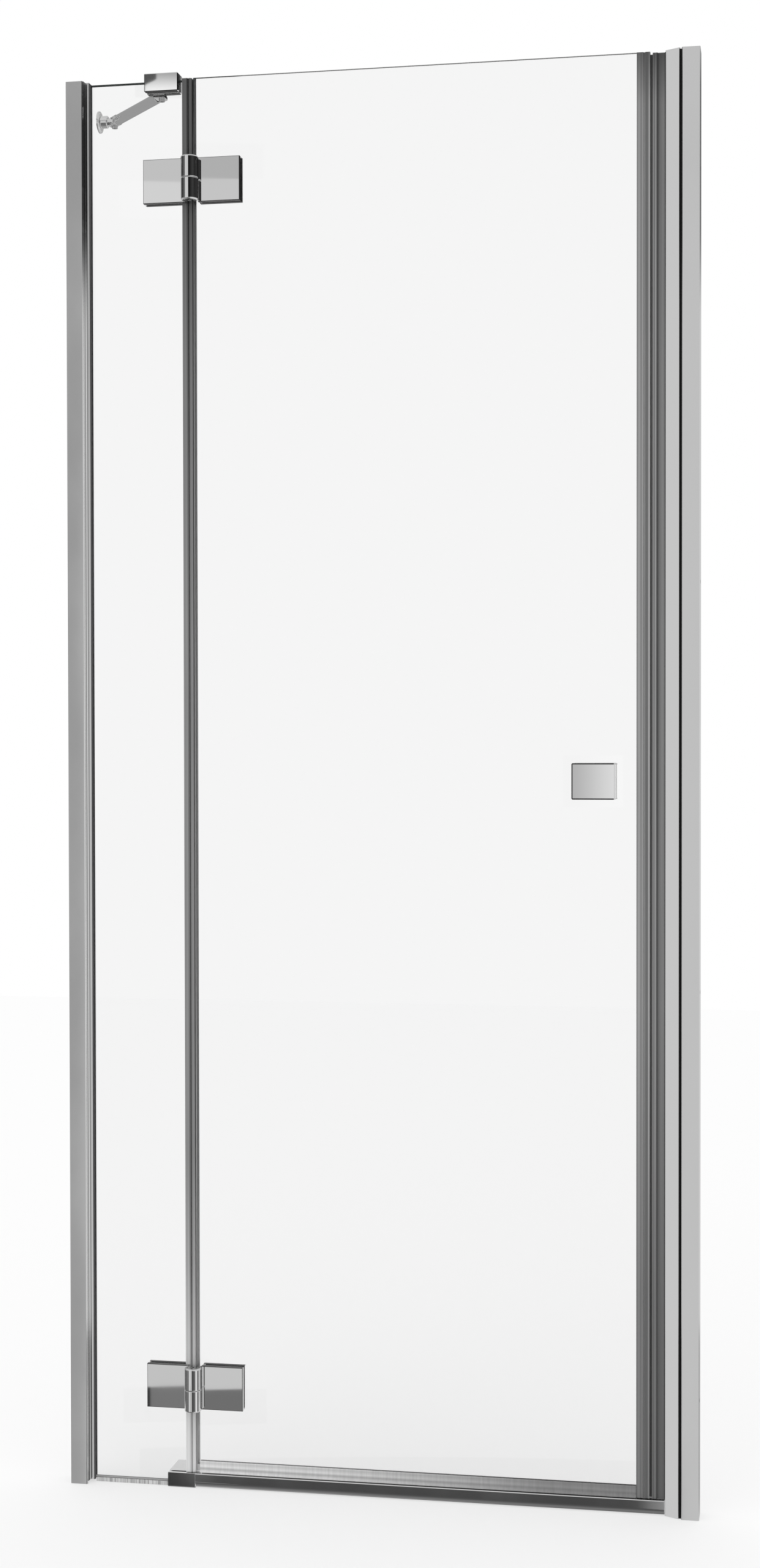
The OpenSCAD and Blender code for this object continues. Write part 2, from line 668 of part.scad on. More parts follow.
// A knob is a bevelled block on a smaller neck, which gives the fingers a hold
module knob() {
    neck_in = 5;
    neck_d = 6;
    front = -(knob_base + knob_d);
    translate([knob_x, 0, knob_z]) difference() {
        union() {
            bevel_plate(-knob_w / 2, knob_w / 2, front, -knob_base - neck_d, -knob_h / 2, knob_h / 2, 1);
            translate([-knob_w / 2 + neck_in, -knob_base - neck_d - 1, -knob_h / 2 + neck_in])
                cube([knob_w - 2 * neck_in, neck_d + 1, knob_h - 2 * neck_in]);
        }
        across(0, 0, stud_d + 2 * running_fit, front + 5, 0);
    }
}
module knob_outer() { color("silver") knob(); }
module knob_inner() { color("silver") mirror([0, 1, 0]) knob(); }
module knob_stud() {
    reach = knob_base + knob_d - 5.5;
    color("gray") across(knob_x, knob_z, stud_d, -reach, reach);
}
module knob_pads() {
    color("dimgray") difference() {
        union() {
            for (y = [-knob_base, glass_half])
                translate([knob_x - knob_w / 2 + 6, y, knob_z - knob_h / 2 + 6])
                cube([knob_w - 12, pad_t, knob_h - 12]);
            across(knob_x, knob_z, stud_hole_d - 1, -knob_base, glass_half - 0.2);
        }
        across(knob_x, knob_z, stud_d + 0.4, -10, 10);
    }
}

// Strike, measured from the right wall

groove_end = wall_profile_w + groove_w;
strike_outline = mirrored([
    [inner_start, -inner_half], [wall_profile_w - 1, -inner_half],
    [wall_profile_w - 1, -inner_half + groove_depth], [groove_end, -inner_half + groove_depth],
    [groove_end, -inner_half], [groove_end + 1, -inner_half],
    [strike_reach - 0.6, -strike_nose - 0.4], [strike_reach, -strike_nose]]);

module strike_profile() {
    cavity_end = strike_reach - strike_slot_depth - profile_t;
    nose_in = strike_nose - profile_t;
    color("silver") from_right() upright(0, inner_top) difference() {
        polygon(strike_outline);
        polygon(mirrored([[inner_start + profile_t, -strike_cavity_half],
            [groove_end + 1, -strike_cavity_half], [cavity_end, -nose_in - 1.5]]));
        translate([strike_reach - strike_slot_depth, -strike_slot_half])
            square([strike_slot_depth + 1, 2 * strike_slot_half]);
        translate([strike_reach - strike_slot_depth, -strike_slot_half - 1.2])
            square([2, 2 * (strike_slot_half + 1.2)]);
    }
}
module strike_cap() {
    color("silver") from_right() {
        upright(inner_top, frame_h) polygon(strike_outline);
        upright(inner_top - 6, inner_top)
            translate([inner_start + profile_t + seat_gap, -strike_cavity_half + seat_gap])
                square([4, 2 * (strike_cavity_half - seat_gap)]);
    }
}
module strike_seal() {
    reach = strike_reach + strike_seal_w;
    stem_end = reach - magnet_box_w;
    stem_start = strike_reach - strike_slot_depth + seat_gap;
    stem_half = strike_slot_half - seat_gap;
    color("whitesmoke", 0.6) from_right() upright(rail_h + 1, inner_top - 0.2) {
        magnet_box(stem_end, reach);
        for (side = [-1, 1]) translate([stem_start, side * (stem_half - seal_t / 2) - seal_t / 2])
            square([stem_end - stem_start + seal_t / 2, seal_t]);
        translate([stem_start, -strike_slot_half - 1.1]) square([1.7, 2 * (strike_slot_half + 1.1)]);
        translate([strike_reach + 0.2, -strike_nose + 1]) square([seal_t, 2 * (strike_nose - 1)]);
        translate([(strike_reach + stem_end) / 2, -stem_half]) square([seal_t, 2 * stem_half]);
    }
}
module strike_magnet() {
    magnet_x = strike_reach + strike_seal_w - seal_t - seat_gap - magnet_w;
    color("dimgray") from_right() translate([magnet_x, -magnet_half + seat_gap, rail_h + 2])
        cube([magnet_w, 2 * (magnet_half - seat_gap), frame_h - rail_h - 6]);
}

// Threshold

// Outline of the rail in Y and Z: a rounded front, a flat top and a slope that
// sheds water back into the shower
module rail_outline(inset) {
    f = -rail_front + inset;
    r = max(rail_r - inset, 0.2);
    polygon(concat(
        arc([f + r, inset + r], r, 180, 270, 8),
        [[rail_back - inset, inset], [rail_back - inset, 4 - inset * 0.2]],
        [[rail_front + 4, rail_h - inset]],
        arc([f + 1.2, rail_h - inset - 1.2], 1.2, 90, 180, 6)));
}
module threshold_rail() {
    color("silver") difference() {
        lengthwise(left_end_right, right_end_left) rail_outline(0);
        lengthwise(left_end_right - 1, right_end_left + 1) difference() {
            rail_outline(rail_t);
            translate([rail_front, 0]) square([rail_t, rail_h]);
        }
    }
}
// A spigot of an end piece, inside the rail's front chamber
module rail_spigot(x0, x1) {
    lengthwise(x0, x1) translate([-rail_front + rail_t + 1.5, rail_t + 1.5])
        square([2 * rail_front - rail_t - 2, rail_h - 2 * rail_t - 3]);
}
module threshold_end_left() {
    color("silver") {
        difference() {
            lengthwise(left_end_left, left_end_right) polygon([
                [-rail_front + 1, 0], [-rail_front, 1], [-rail_front, rail_h - 0.5],
                [-rail_front + 0.5, rail_h],
                [left_end_back - 0.5, rail_h], [left_end_back, rail_h - 0.5], [left_end_back, 0]]);
            translate([left_end_left - 1, -glass_half - part_gap, 2])
                cube([fixed_right - left_end_left + 3, glass_t + 2 * part_gap, rail_h]);
        }
        rail_spigot(left_end_right - 0.5, left_end_right + 10);
    }
}
module threshold_end_right() {
    color("silver") {
        lengthwise(right_end_left, right_end_right) rail_outline(0);
        rail_spigot(right_end_left - 10, right_end_left + 0.5);
    }
}
module setting_block() {
    color("dimgray") translate([left_end_left + 4, -glass_half + 0.2, 2])
        cube([fixed_right - left_end_left - 8, glass_t - 0.4, fixed_floor_gap - 2 - 0.3]);
}

// Brace clamp on the fixed pane

module brace_clamp() {
    x0 = clamp_x - clamp_w / 2;
    slot_back = glass_half + pad_t + pressure_plate_t;
    ear_bottom = brace_z - eye_t / 2 - eye_play - ear_t;
    color("silver") difference() {
        union() {
            intersection() {
                upright(clamp_bottom, clamp_top)
                    polygon(concat([[x0, -clamp_front + 1], [x0 + 1, -clamp_front],
                        [x0 + clamp_w - 1, -clamp_front], [x0 + clamp_w, -clamp_front + 1]],
                        arc([x0 + clamp_w - 4, clamp_back - 4], 4, 0, 90),
                        arc([x0 + 4, clamp_back - 4], 4, 90, 180)));
                lengthwise(x0, x0 + clamp_w) polygon([
                    [-clamp_front + 1, clamp_bottom], [-clamp_front, clamp_bottom + 1],
                    [-clamp_front, clamp_top - 1], [-clamp_front + 1, clamp_top],
                    [clamp_back - 1, clamp_top], [clamp_back, clamp_top - 1], [clamp_back, clamp_bottom]]);
            }
            // Two ears that hold the eye of the brace
            for (z = [ear_bottom, brace_z + eye_t / 2 + eye_play])
                translate([clamp_pivot[0], 0, z]) {
                    translate([0, clamp_pivot[1], 0]) cylinder(r = ear_r, h = ear_t);
                    translate([-ear_r, clamp_back - 5, 0])
                        cube([2 * ear_r, clamp_pivot[1] - clamp_back + 5, ear_t]);
                }
            // Root that carries the lower ear down from the clamp
            translate([clamp_pivot[0] - ear_r, clamp_back - 8, ear_bottom]) cube([2 * ear_r, 7.5, 6]);
        }
        translate([x0 - 1, -glass_half - pad_t, clamp_bottom - 5])
            cube([clamp_w + 2, glass_half + pad_t + slot_back, fixed_top + 1 - clamp_bottom + 5]);
        at_clamp_pivot() translate([0, 0, -15]) cylinder(d = pivot_screw_d + 2 * running_fit, h = 30);
        for (dx = [-clamp_w / 2 + 7, clamp_w / 2 - 7])
            across(clamp_x + dx, clamp_bottom + 12, 5 + 2 * running_fit, 0, clamp_back + 1);
    }
}
module clamp_pressure_plate() {
    color("gray") translate([clamp_x - clamp_w / 2 + 1, glass_half + pad_t, clamp_bottom + 1])
        cube([clamp_w - 2, pressure_plate_t - seat_gap, fixed_top - clamp_bottom - 1.5]);
}
module clamp_pads() {
    color("dimgray") {
        for (y = [-glass_half - pad_t, glass_half])
            translate([clamp_x - clamp_w / 2 + 1, y, clamp_bottom + 1])
            cube([clamp_w - 2, pad_t, fixed_top - clamp_bottom - 1]);
        translate([clamp_x - clamp_w / 2 + 1, -glass_half - pad_t, fixed_top])
            cube([clamp_w - 2, glass_t + 2 * pad_t, 0.9]);
    }
}
module clamp_grub_screws() {
    y0 = glass_half + pad_t + pressure_plate_t;
    color("gray") for (dx = [-clamp_w / 2 + 7, clamp_w / 2 - 7]) difference() {
        across(clamp_x + dx, clamp_bottom + 12, 5, y0, clamp_back - 0.5);
        translate([clamp_x + dx, clamp_back, clamp_bottom + 12]) rotate([90, 0, 0])
            cylinder(d = 2.8, h = 3, $fn = 6);
    }
}

// A vertical pivot screw through two ears, its head below
module pivot_screw(half) {
    difference() {
        union() {
            translate([0, 0, -half - 1]) cylinder(d = pivot_screw_d, h = 2 * half + 0.5);
            translate([0, 0, -half - 2.6]) cylinder(d = pivot_screw_d + 3.5, h = 2.5);
        }
        translate([0, 0, -half - 3]) cylinder(d = 3.4, h = 1.8, $fn = 6);
    }
}
module brace_pivot_screw() { color("gray") at_clamp_pivot() pivot_screw(eye_t / 2 + eye_play + ear_t); }

// Brace

module brace_bar() {
    color("silver") along_brace() translate([bar_start, 0, 0]) rotate([0, 90, 0]) difference() {
        cylinder(d = bar_d, h = brace_len - 2 * bar_start);
        translate([0, 0, -1]) cylinder(d = bar_d - 2 * bar_t, h = brace_len);
    }
}
// Collar and plug that close one end of the bar
module bar_plug() {
    translate([fitting_start, 0, 0]) rotate([0, 90, 0]) cylinder(d = bar_d, h = bar_start - fitting_start);
    translate([fitting_start + 1, 0, 0]) rotate([0, 90, 0])
        cylinder(d = bar_d - 2 * bar_t - 2 * seat_gap, h = plug_len);
}
// A flat tongue with a rounded, drilled end; it reaches back to x = reach
module tongue(reach, r) {
    difference() {
        union() {
            translate([0, 0, -eye_t / 2]) cylinder(r = r, h = eye_t);
            translate([0, -r, -eye_t / 2]) cube([reach, 2 * r, eye_t]);
        }
        translate([0, 0, -eye_t]) cylinder(d = pivot_screw_d + 2 * running_fit, h = 2 * eye_t);
    }
}
module brace_eye_end() {
    color("silver") along_brace() {
        bar_plug();
        tongue(fitting_start + 1, ear_r - 1);
    }
}
module brace_fork_end() {
    fork_gap = eye_t + 2 * eye_play;
    color("silver") along_brace() translate([brace_len, 0, 0]) mirror([1, 0, 0]) {
        bar_plug();
        difference() {
            intersection() {
                union() {
                    translate([0, 0, -bar_d / 2]) cylinder(r = ear_r, h = bar_d);
                    translate([0, -ear_r, -bar_d / 2]) cube([fitting_start + 1, 2 * ear_r, bar_d]);
                }
                translate([-ear_r - 1, 0, 0]) rotate([0, 90, 0]) cylinder(d = bar_d + 1.4, h = 2 * ear_r + 4);
            }
            translate([-ear_r - 1, -ear_r - 1, -fork_gap / 2])
                cube([2 * ear_r + 1.4, 2 * ear_r + 2, fork_gap]);
            translate([0, 0, -bar_d]) cylinder(d = pivot_screw_d + 2 * running_fit, h = 2 * bar_d);
        }
    }
}
module flange_pivot_screw() { color("gray") at_wall_pivot() pivot_screw(bar_d / 2); }

// Wall flange. Distances are from the wall, along +X.
module on_flange_axis(x) { translate([left_wall + x, wall_pivot_y, brace_z]) rotate([0, 90, 0]) children(); }

module flange_neck() {
    neck_end = wall_pivot_x - ear_r - 2;
    neck_len = neck_end - flange_disc_t - 0.2;
    color("silver") {
        difference() {
            on_flange_axis(flange_disc_t + 0.2) rotate_extrude() polygon([
                [0, 0], [neck_d / 2, 0], [neck_d / 2, neck_len - 1.5], [neck_d / 2 - 1.5, neck_len],
                [0, neck_len]]);
            on_flange_axis(0) cylinder(d = neck_cup_d + seat_gap, h = neck_end - 4);
        }
        at_wall_pivot() mirror([1, 0, 0]) tongue(ear_r + 2.5, ear_r - 1);
    }
}
module flange_rosette() {
    r = flange_d / 2;
    color("silver") difference() {
        on_flange_axis(0) rotate_extrude() polygon([
            [0, 0], [r, 0], [r, flange_disc_t - 1.4], [r - 0.6, flange_disc_t - 0.8],
            [r - 2, flange_disc_t - 0.8], [r - 2.6, flange_disc_t], [0, flange_disc_t]]);
        on_flange_axis(-1) cylinder(d = neck_cup_d + 0.2, h = flange_disc_t + 2);
    }
}
module flange_base() {
    color("gray") difference() {
        on_flange_axis(0) cylinder(d = neck_cup_d, h = wall_pivot_x - ear_r - 6.4);
        on_flange_axis(-1) cylinder(d = flange_screw_d, h = wall_pivot_x);
    }
}

wall_profile_left();
wall_profile_right();
lock_screws();
threshold_rail();
threshold_end_left();
threshold_end_right();
setting_block();
glazing_profile();
glazing_cap();
glazing_gasket_outer();
glazing_gasket_inner();
fixed_glass();
sill_strip();
post_seal();
fixed_leaf_top();
fixed_leaf_bottom();
fixed_back_plate_top();
fixed_back_plate_bottom();
fixed_pads();
fixed_leaf_screws();
fixed_cam_top();
fixed_cam_bottom();
fixed_barrel_caps();
brace_clamp();
clamp_pressure_plate();
clamp_pads();
clamp_grub_screws();
brace_pivot_screw();
hinge_pin_top();
hinge_pin_bottom();
door_glass();
door_leaf_top();
door_leaf_bottom();
door_back_plate_top();
door_back_plate_bottom();
door_pads();
door_leaf_screws();
door_cam_top();
door_cam_bottom();
door_barrel_caps();
door_bottom_seal();
door_magnet_seal();
door_magnet();
knob_outer();
knob_inner();
knob_stud();
knob_pads();
strike_profile();
strike_cap();
strike_seal();
strike_magnet();
brace_bar();
brace_eye_end();
brace_fork_end();
flange_pivot_screw();
flange_neck();
flange_rosette();
flange_base();
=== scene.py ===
"""Looks of a niche shower door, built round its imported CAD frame.

A narrow fixed pane carries a wide door pane on two rising hinges. X runs along
the opening, Y through the glass towards the inside of the shower and Z up, and
the origin is on the tray. Meshes are in metres, and sizes here in millimetres.
"""

import json
import logging
import math
from contextlib import contextmanager
from dataclasses import dataclass
from enum import Enum
from typing import Callable, Iterator, Sequence

import bmesh
import bpy
from mathutils import Matrix, Vector

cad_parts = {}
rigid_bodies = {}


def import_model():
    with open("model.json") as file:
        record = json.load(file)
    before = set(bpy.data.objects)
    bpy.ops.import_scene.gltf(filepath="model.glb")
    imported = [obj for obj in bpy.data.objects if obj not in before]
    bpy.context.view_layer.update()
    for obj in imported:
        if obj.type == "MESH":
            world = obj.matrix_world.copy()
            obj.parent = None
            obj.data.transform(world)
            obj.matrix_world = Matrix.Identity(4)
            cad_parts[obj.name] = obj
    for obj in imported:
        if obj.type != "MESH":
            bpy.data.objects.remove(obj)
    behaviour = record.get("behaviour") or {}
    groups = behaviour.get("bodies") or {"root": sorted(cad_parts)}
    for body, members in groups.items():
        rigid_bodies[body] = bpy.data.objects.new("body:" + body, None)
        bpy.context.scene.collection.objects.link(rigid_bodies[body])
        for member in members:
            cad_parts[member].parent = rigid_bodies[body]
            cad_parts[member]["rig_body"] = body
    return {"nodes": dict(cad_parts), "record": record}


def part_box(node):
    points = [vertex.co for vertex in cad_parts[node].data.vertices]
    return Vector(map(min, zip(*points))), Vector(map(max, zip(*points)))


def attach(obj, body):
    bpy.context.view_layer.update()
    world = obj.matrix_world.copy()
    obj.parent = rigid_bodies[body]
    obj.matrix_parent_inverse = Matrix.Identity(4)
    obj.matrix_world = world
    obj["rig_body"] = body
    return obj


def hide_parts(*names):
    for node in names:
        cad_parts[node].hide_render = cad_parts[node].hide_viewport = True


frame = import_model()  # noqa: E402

log = logging.getLogger("shower_door")

MM = 0.001
SLOTS = {part["node"]: part["material_slot"] for part in frame["record"]["subparts"]}
AXES = {"X": 0, "Y": 1, "Z": 2}
UP = Vector((0.0, 0.0, 1.0))

# How much light the chrome mirrors, and the grey of its chamfers, painted dark as their reflection.
CHROME = 0.80
CHAMFER_DARK_REFLECTION = 0.09
# Refraction of glass and of soft clear plastic.
GLASS_IOR = 1.5
SEAL_IOR = 1.45
# Where most values of noise lie.
NOISE = (0.3, 0.7)
# Heights of the two screws in a hinge leaf, from its middle.
SCREWS_UP = (-16.0, 16.0)
# Sides of a full round, and how close its points are when they are welded.
AROUND = 96
WELD = 0.001
# Edges that bend more than this are eased, in degrees.
SHARP = 35.0

Point = Sequence[float]
Outline = list[tuple[float, float]]
Triple = tuple[float, float, float]
Colour = Triple
Stops = Sequence[tuple[float, float]]
Socket = bpy.types.NodeSocket
Material = bpy.types.Material
Piece = bpy.types.Object
Edge = bmesh.types.BMEdge


class Side(Enum):
    """The pane that a hinge leaf clamps, by its word in the CAD nodes' names."""

    FIXED = "fixed"
    DOOR = "door"


# ---------------------------------------------------------------- Materials


def greys(stops: Stops) -> list[tuple[float, Colour]]:
    """Turn levels at places into grey colours at places."""
    return [(place, (level,) * 3) for place, level in stops]


class Wiring:
    """Adds nodes to a node tree and links them."""

    def __init__(self, tree: bpy.types.NodeTree) -> None:
        """Keep the tree that the nodes go into."""
        self.tree = tree

    def feed(self, inlet: Socket, value: object) -> None:
        """Link or set an input.

        Args:
            inlet: The input.
            value: A socket to link, or a plain number or colour.
        """
        if isinstance(value, Socket):
            self.tree.links.new(value, inlet)
        else:
            inlet.default_value = value

    def node(
        self, kind: str, inputs: dict[str | int, object] | None = None, **settings: object
    ) -> bpy.types.Node:
        """Add a node.

        Args:
            kind: Blender's name of the node.
            inputs: Sockets or plain values by the inputs' names or numbers.
            **settings: The node's own settings.

        Returns:
            The node.
        """
        node = self.tree.nodes.new(kind)
        for name, value in settings.items():
            setattr(node, name, value)
        for key, value in (inputs or {}).items():
            self.feed(node.inputs[key], value)
        return node

    def ramp(self, value: Socket, stops: Sequence[tuple[float, Colour]]) -> Socket:
        """Turn a value into colours.

        Args:
            value: What the ramp reads.
            stops: Places from 0 to 1 with their colours.

        Returns:
            The ramp's colour.
        """
        node = self.node("ShaderNodeValToRGB", {"Fac": value})
        elements = node.color_ramp.elements
        while len(elements) < len(stops):
            elements.new(0.5)
        for element, (place, colour) in zip(elements, stops):
            element.position = place
            element.color = (*colour, 1.0)
        return node.outputs["Color"]

    def remap(
        self,
        value: Socket,
        start: float,
        end: float,
        low: float = 0.0,
        high: float = 1.0,
        curve: str = "LINEAR",
    ) -> Socket:
        """Go from low to high while a value goes from start to end.

        Args:
            value: What is read.
            start: Value that gives low.
            end: Value that gives high.
            low: Result at start.
            high: Result at end.
            curve: LINEAR or SMOOTHSTEP.

        Returns:
            The result.
        """
        spans = {"From Min": start, "From Max": end, "To Min": low, "To Max": high}
        inputs = {"Value": value, **spans}
        return self.node("ShaderNodeMapRange", inputs, interpolation_type=curve).outputs["Result"]


class Shading(Wiring):
    """The nodes of one material, round its Principled shader."""

    def __init__(self, name: str, colour: Colour, roughness: float) -> None:
        """Start a plain material.

        Args:
            name: The material's name.
            colour: Its colour.
            roughness: How rough its surface is.
        """
        self.material = bpy.data.materials.new(name)
        self.material.use_nodes = True
        super().__init__(self.material.node_tree)
        self.shader = self.tree.nodes["Principled BSDF"]
        self.set("Base Color", (*colour, 1.0))
        self.set("Roughness", roughness)

    def set(self, name: str, value: object) -> None:
        """Link or set one of the shader's inputs."""
        self.feed(self.shader.inputs[name], value)

    def spot(self) -> Socket:
        """Give the Object coordinates."""
        return self.node("ShaderNodeTexCoord").outputs["Object"]

    def noise(self, waves: Triple, detail: float) -> Socket:
        """Add noise that reads Object coordinates.

        Args:
            waves: Waves per metre along X, Y and Z.
            detail: Levels of finer noise.

        Returns:
            The noise's value.
        """
        stretch = self.node("ShaderNodeMapping", {"Vector": self.spot(), "Scale": waves})
        inputs = {"Vector": stretch.outputs["Vector"], "Scale": 1.0, "Detail": detail}
        return self.node("ShaderNodeTexNoise", inputs).outputs["Fac"]

    def place(self, axis: str, low: float, high: float) -> Socket:
        """Measure where a point lies between two places along an axis.

        Args:
            axis: X, Y or Z of the Object coordinates.
            low: Place that gives 0, in millimetres.
            high: Place that gives 1.

        Returns:
            The value from 0 to 1.
        """
        split = self.node("ShaderNodeSeparateXYZ", {0: self.spot()})
        return self.remap(split.outputs[axis], low * MM, high * MM)

    def blend(self, kind: str, factor: float | Socket, first: Socket, second: Socket) -> Socket:
        """Blend two colours.

        Args:
            kind: Blender's name of the way to blend.
            factor: Share of the second colour.
            first: First colour.
            second: Second colour.

        Returns:
            The blended colour.
        """
        inputs = {"Factor": factor, 6: first, 7: second}
        return self.node("ShaderNodeMix", inputs, data_type="RGBA", blend_type=kind).outputs[2]

    def bump(self, height: Socket, depth: float) -> None:
        """Let a height from 0 to 1 disturb the normals, over a depth in millimetres."""
        inputs = {"Strength": 1.0, "Distance": depth * MM, "Height": height}
        self.set("Normal", self.node("ShaderNodeBump", inputs).outputs["Normal"])


@dataclass(frozen=True)
class Finish:
    """A finish: a name, a colour and how rough its surface is."""

    name: str
    colour: Colour
    roughness: float

    def dress(self, nodes: Shading) -> None:
        """Add what the finish has beyond its colour; a plain one has nothing."""

    def build(self) -> Material:
        """Make the material.

        Returns:
            The material.
        """
        nodes = Shading(self.name, self.colour, self.roughness)
        self.dress(nodes)
        return nodes.material


@dataclass(frozen=True)
class Metal(Finish):
    """Metal with faint marks in its gloss: by default chrome, with smears."""

    waves: Triple = (9.0, 9.0, 5.0)
    detail: float = 5.0
    gloss: tuple[float, float] = (0.6, 1.5)
    depth: float = 0.0

    def dress(self, nodes: Shading) -> None:
        """Let noise vary the gloss, and cut the marks where they have a depth.

        Args:
            nodes: The material's nodes.
        """
        nodes.set("Metallic", 1.0)
        marks = nodes.noise(self.waves, self.detail)
        low, high = (self.roughness * share for share in self.gloss)
        nodes.set("Roughness", nodes.remap(marks, *NOISE, low, high))
        if self.depth:
            nodes.bump(marks, self.depth)


@dataclass(frozen=True)
class ClearGlass(Finish):
    """Toughened glass; the colour is what two faces let through."""

    def dress(self, nodes: Shading) -> None:
        """Let the light through."""
        nodes.set("Transmission Weight", 1.0)
        nodes.set("IOR", GLASS_IOR)


@dataclass(frozen=True)
class GlassEdgePaintedShade(Finish):
    """Edge of the glass, with painted shade: nearly black at the top near the hinges, and paler
    elsewhere.
    """

    pale: float = 0.30
    turn: tuple[float, float] = (-205.0, -190.0)
    height: float = 2000.0
    levels: tuple[tuple[float, float], ...] = (
        (0.0, 0.55), (0.15, 0.50), (0.5, 0.48), (0.8, 0.40), (0.95, 0.12), (0.99, 0.0),
    )

    def dress(self, nodes: Shading) -> None:
        """Paint shade on the edge along the top and down the sides.

        Args:
            nodes: The material's nodes.
        """
        # Painted shade: darker towards the top and by the hinges, paler low down.
        stops = [(0.0, self.colour), (1.0, (self.pale,) * 3)]
        top = nodes.ramp(nodes.place("X", *self.turn), stops)
        side = nodes.ramp(nodes.place("Z", 0.0, self.height), greys(self.levels))
        nodes.set("Base Color", nodes.blend("LIGHTEN", 1.0, top, side))
        nodes.set("Specular IOR Level", 0.0)


@dataclass(frozen=True)
class ClearSeal(Finish):
    """Clear soft extrusion, seen as grey streaks that run along it."""

    dark: float = 0.30
    light: float = 0.75
    waves: Triple = (420.0, 420.0, 0.35)
    clear: float = 0.25

    def dress(self, nodes: Shading) -> None:
        """Draw the streaks.

        Args:
            nodes: The material's nodes.
        """
        middle = (self.dark + self.light) / 2
        stops = greys([(0.30, self.dark), (0.48, middle), (0.66, self.light)])
        nodes.set("Base Color", nodes.ramp(nodes.noise(self.waves, 2.0), stops))
        nodes.set("Transmission Weight", self.clear)
        nodes.set("IOR", SEAL_IOR)


@dataclass(frozen=True)
class RibbedSealPaintedLight(Finish):
    """Clear soft extrusion whose ribs' highlights and shade are painted as light and dark streaks
    along it.

    Span is where the ribs start and end across the seal, and the rib stops say how
    light each rib's painted streak is, from 0 to 1. Reach is where the seal starts
    and ends along its length, and tones give its darkest and lightest grey there:
    painted light and shade that change along the seal. All places are in
    millimetres or shares of these spans.
    """

    colour: Colour = (0.4, 0.4, 0.4)
    roughness: float = 0.25
    across: str = "X"
    span: tuple[float, float] = (0.0, 1.0)
    rib_light: Stops = ((0.0, 0.0), (1.0, 1.0))
    along: str = "Z"
    reach: tuple[float, float] = (0.0, 2000.0)
    tones: Sequence[Triple] = ((0.0, 0.1, 0.4),)
    waves: Triple = (300.0, 300.0, 4.0)
    cloud: float = 0.86
    clear: float = 0.15

    def dress(self, nodes: Shading) -> None:
        """Paint the ribs' highlights and shade, the painted light's change along the seal, and
        slight clouds.

        Args:
            nodes: The material's nodes.
        """
        # Painted highlights and shade of the ribs, across the seal.
        rib = nodes.ramp(nodes.place(self.across, *self.span), greys(self.rib_light))
        # Painted light and shade along the seal: its darkest and lightest grey at each place.
        length = nodes.place(self.along, *self.reach)
        darkest, lightest = (
            nodes.ramp(length, greys([(tone[0], tone[number]) for tone in self.tones]))
            for number in (1, 2)
        )
        grey = nodes.blend("MIX", rib, darkest, lightest)
        shade = greys(list(zip(NOISE, (self.cloud, 1.0))))
        clouds = nodes.ramp(nodes.noise(self.waves, 2.0), shade)
        nodes.set("Base Color", nodes.blend("MULTIPLY", 1.0, grey, clouds))
        nodes.set("Transmission Weight", self.clear)
        nodes.set("IOR", SEAL_IOR)


@dataclass(frozen=True)
class Moulded(Finish):
    """Moulded plastic or rubber with slight clouds in its colour and a fine grain."""

    waves: Triple = (120.0, 120.0, 120.0)
    shades: tuple[float, float] = (0.92, 1.0)
    depth: float = 0.02

    def dress(self, nodes: Shading) -> None:
        """Draw the clouds and the grain.

        Args:
            nodes: The material's nodes.
        """
        clouds = nodes.noise(self.waves, 4.0)
        tones = [
            (place, tuple(level * shade for level in self.colour))
            for place, shade in zip(NOISE, self.shades)
        ]
        nodes.set("Base Color", nodes.ramp(clouds, tones))
        nodes.bump(clouds, self.depth)


@dataclass(frozen=True)
class Rubber(Moulded):
    """Soft rubber with a dull, slightly grainy skin."""

    waves: Triple = (900.0, 900.0, 300.0)
    shades: tuple[float, float] = (0.8, 1.15)
    depth: float = 0.03


# The seals' painted light: how light each rib's streak is, and the painted light and shade that
# change along each seal.
POST_SEAL = RibbedSealPaintedLight(
    "post_seal",
    span=(-280.5, -259.5),
    rib_light=(
        (0.0, 0.75), (0.12, 0.45), (0.28, 0.6), (0.36, 0.0),
        (0.5, 0.25), (0.62, 0.5), (0.76, 1.0), (0.9, 0.6),
    ),
    tones=(
        (0.0, 0.62, 1.0), (0.09, 0.36, 0.80), (0.16, 0.16, 0.56), (0.24, 0.14, 0.36),
        (0.6, 0.15, 0.36), (0.8, 0.09, 0.27), (0.9, 0.05, 0.18), (1.0, 0.035, 0.15),
    ),
)
MAGNET_SEAL = RibbedSealPaintedLight(
    "magnet_seal",
    span=(360.8, 378.3),
    rib_light=(
        (0.0, 0.4), (0.16, 0.8), (0.32, 0.3), (0.44, 0.75),
        (0.58, 0.7), (0.68, 0.1), (0.84, 0.15), (0.93, 1.0),
    ),
    tones=(
        (0.0, 0.11, 0.24), (0.15, 0.11, 0.28), (0.35, 0.11, 0.44),
        (0.8, 0.10, 0.42), (0.965, 0.09, 0.36), (1.0, 0.07, 0.13),
    ),
)
STRIKE_SEAL = RibbedSealPaintedLight(
    "strike_seal",
    span=(381.7, 399.5),
    rib_light=(
        (0.0, 0.5), (0.06, 0.7), (0.13, 0.25), (0.24, 0.95), (0.33, 0.0),
        (0.5, 0.3), (0.72, 0.5), (0.9, 0.6), (0.97, 0.0),
    ),
    tones=(
        (0.0, 0.07, 0.20), (0.15, 0.08, 0.24), (0.35, 0.07, 0.38),
        (0.8, 0.06, 0.36), (0.965, 0.05, 0.3), (1.0, 0.03, 0.1),
    ),
)
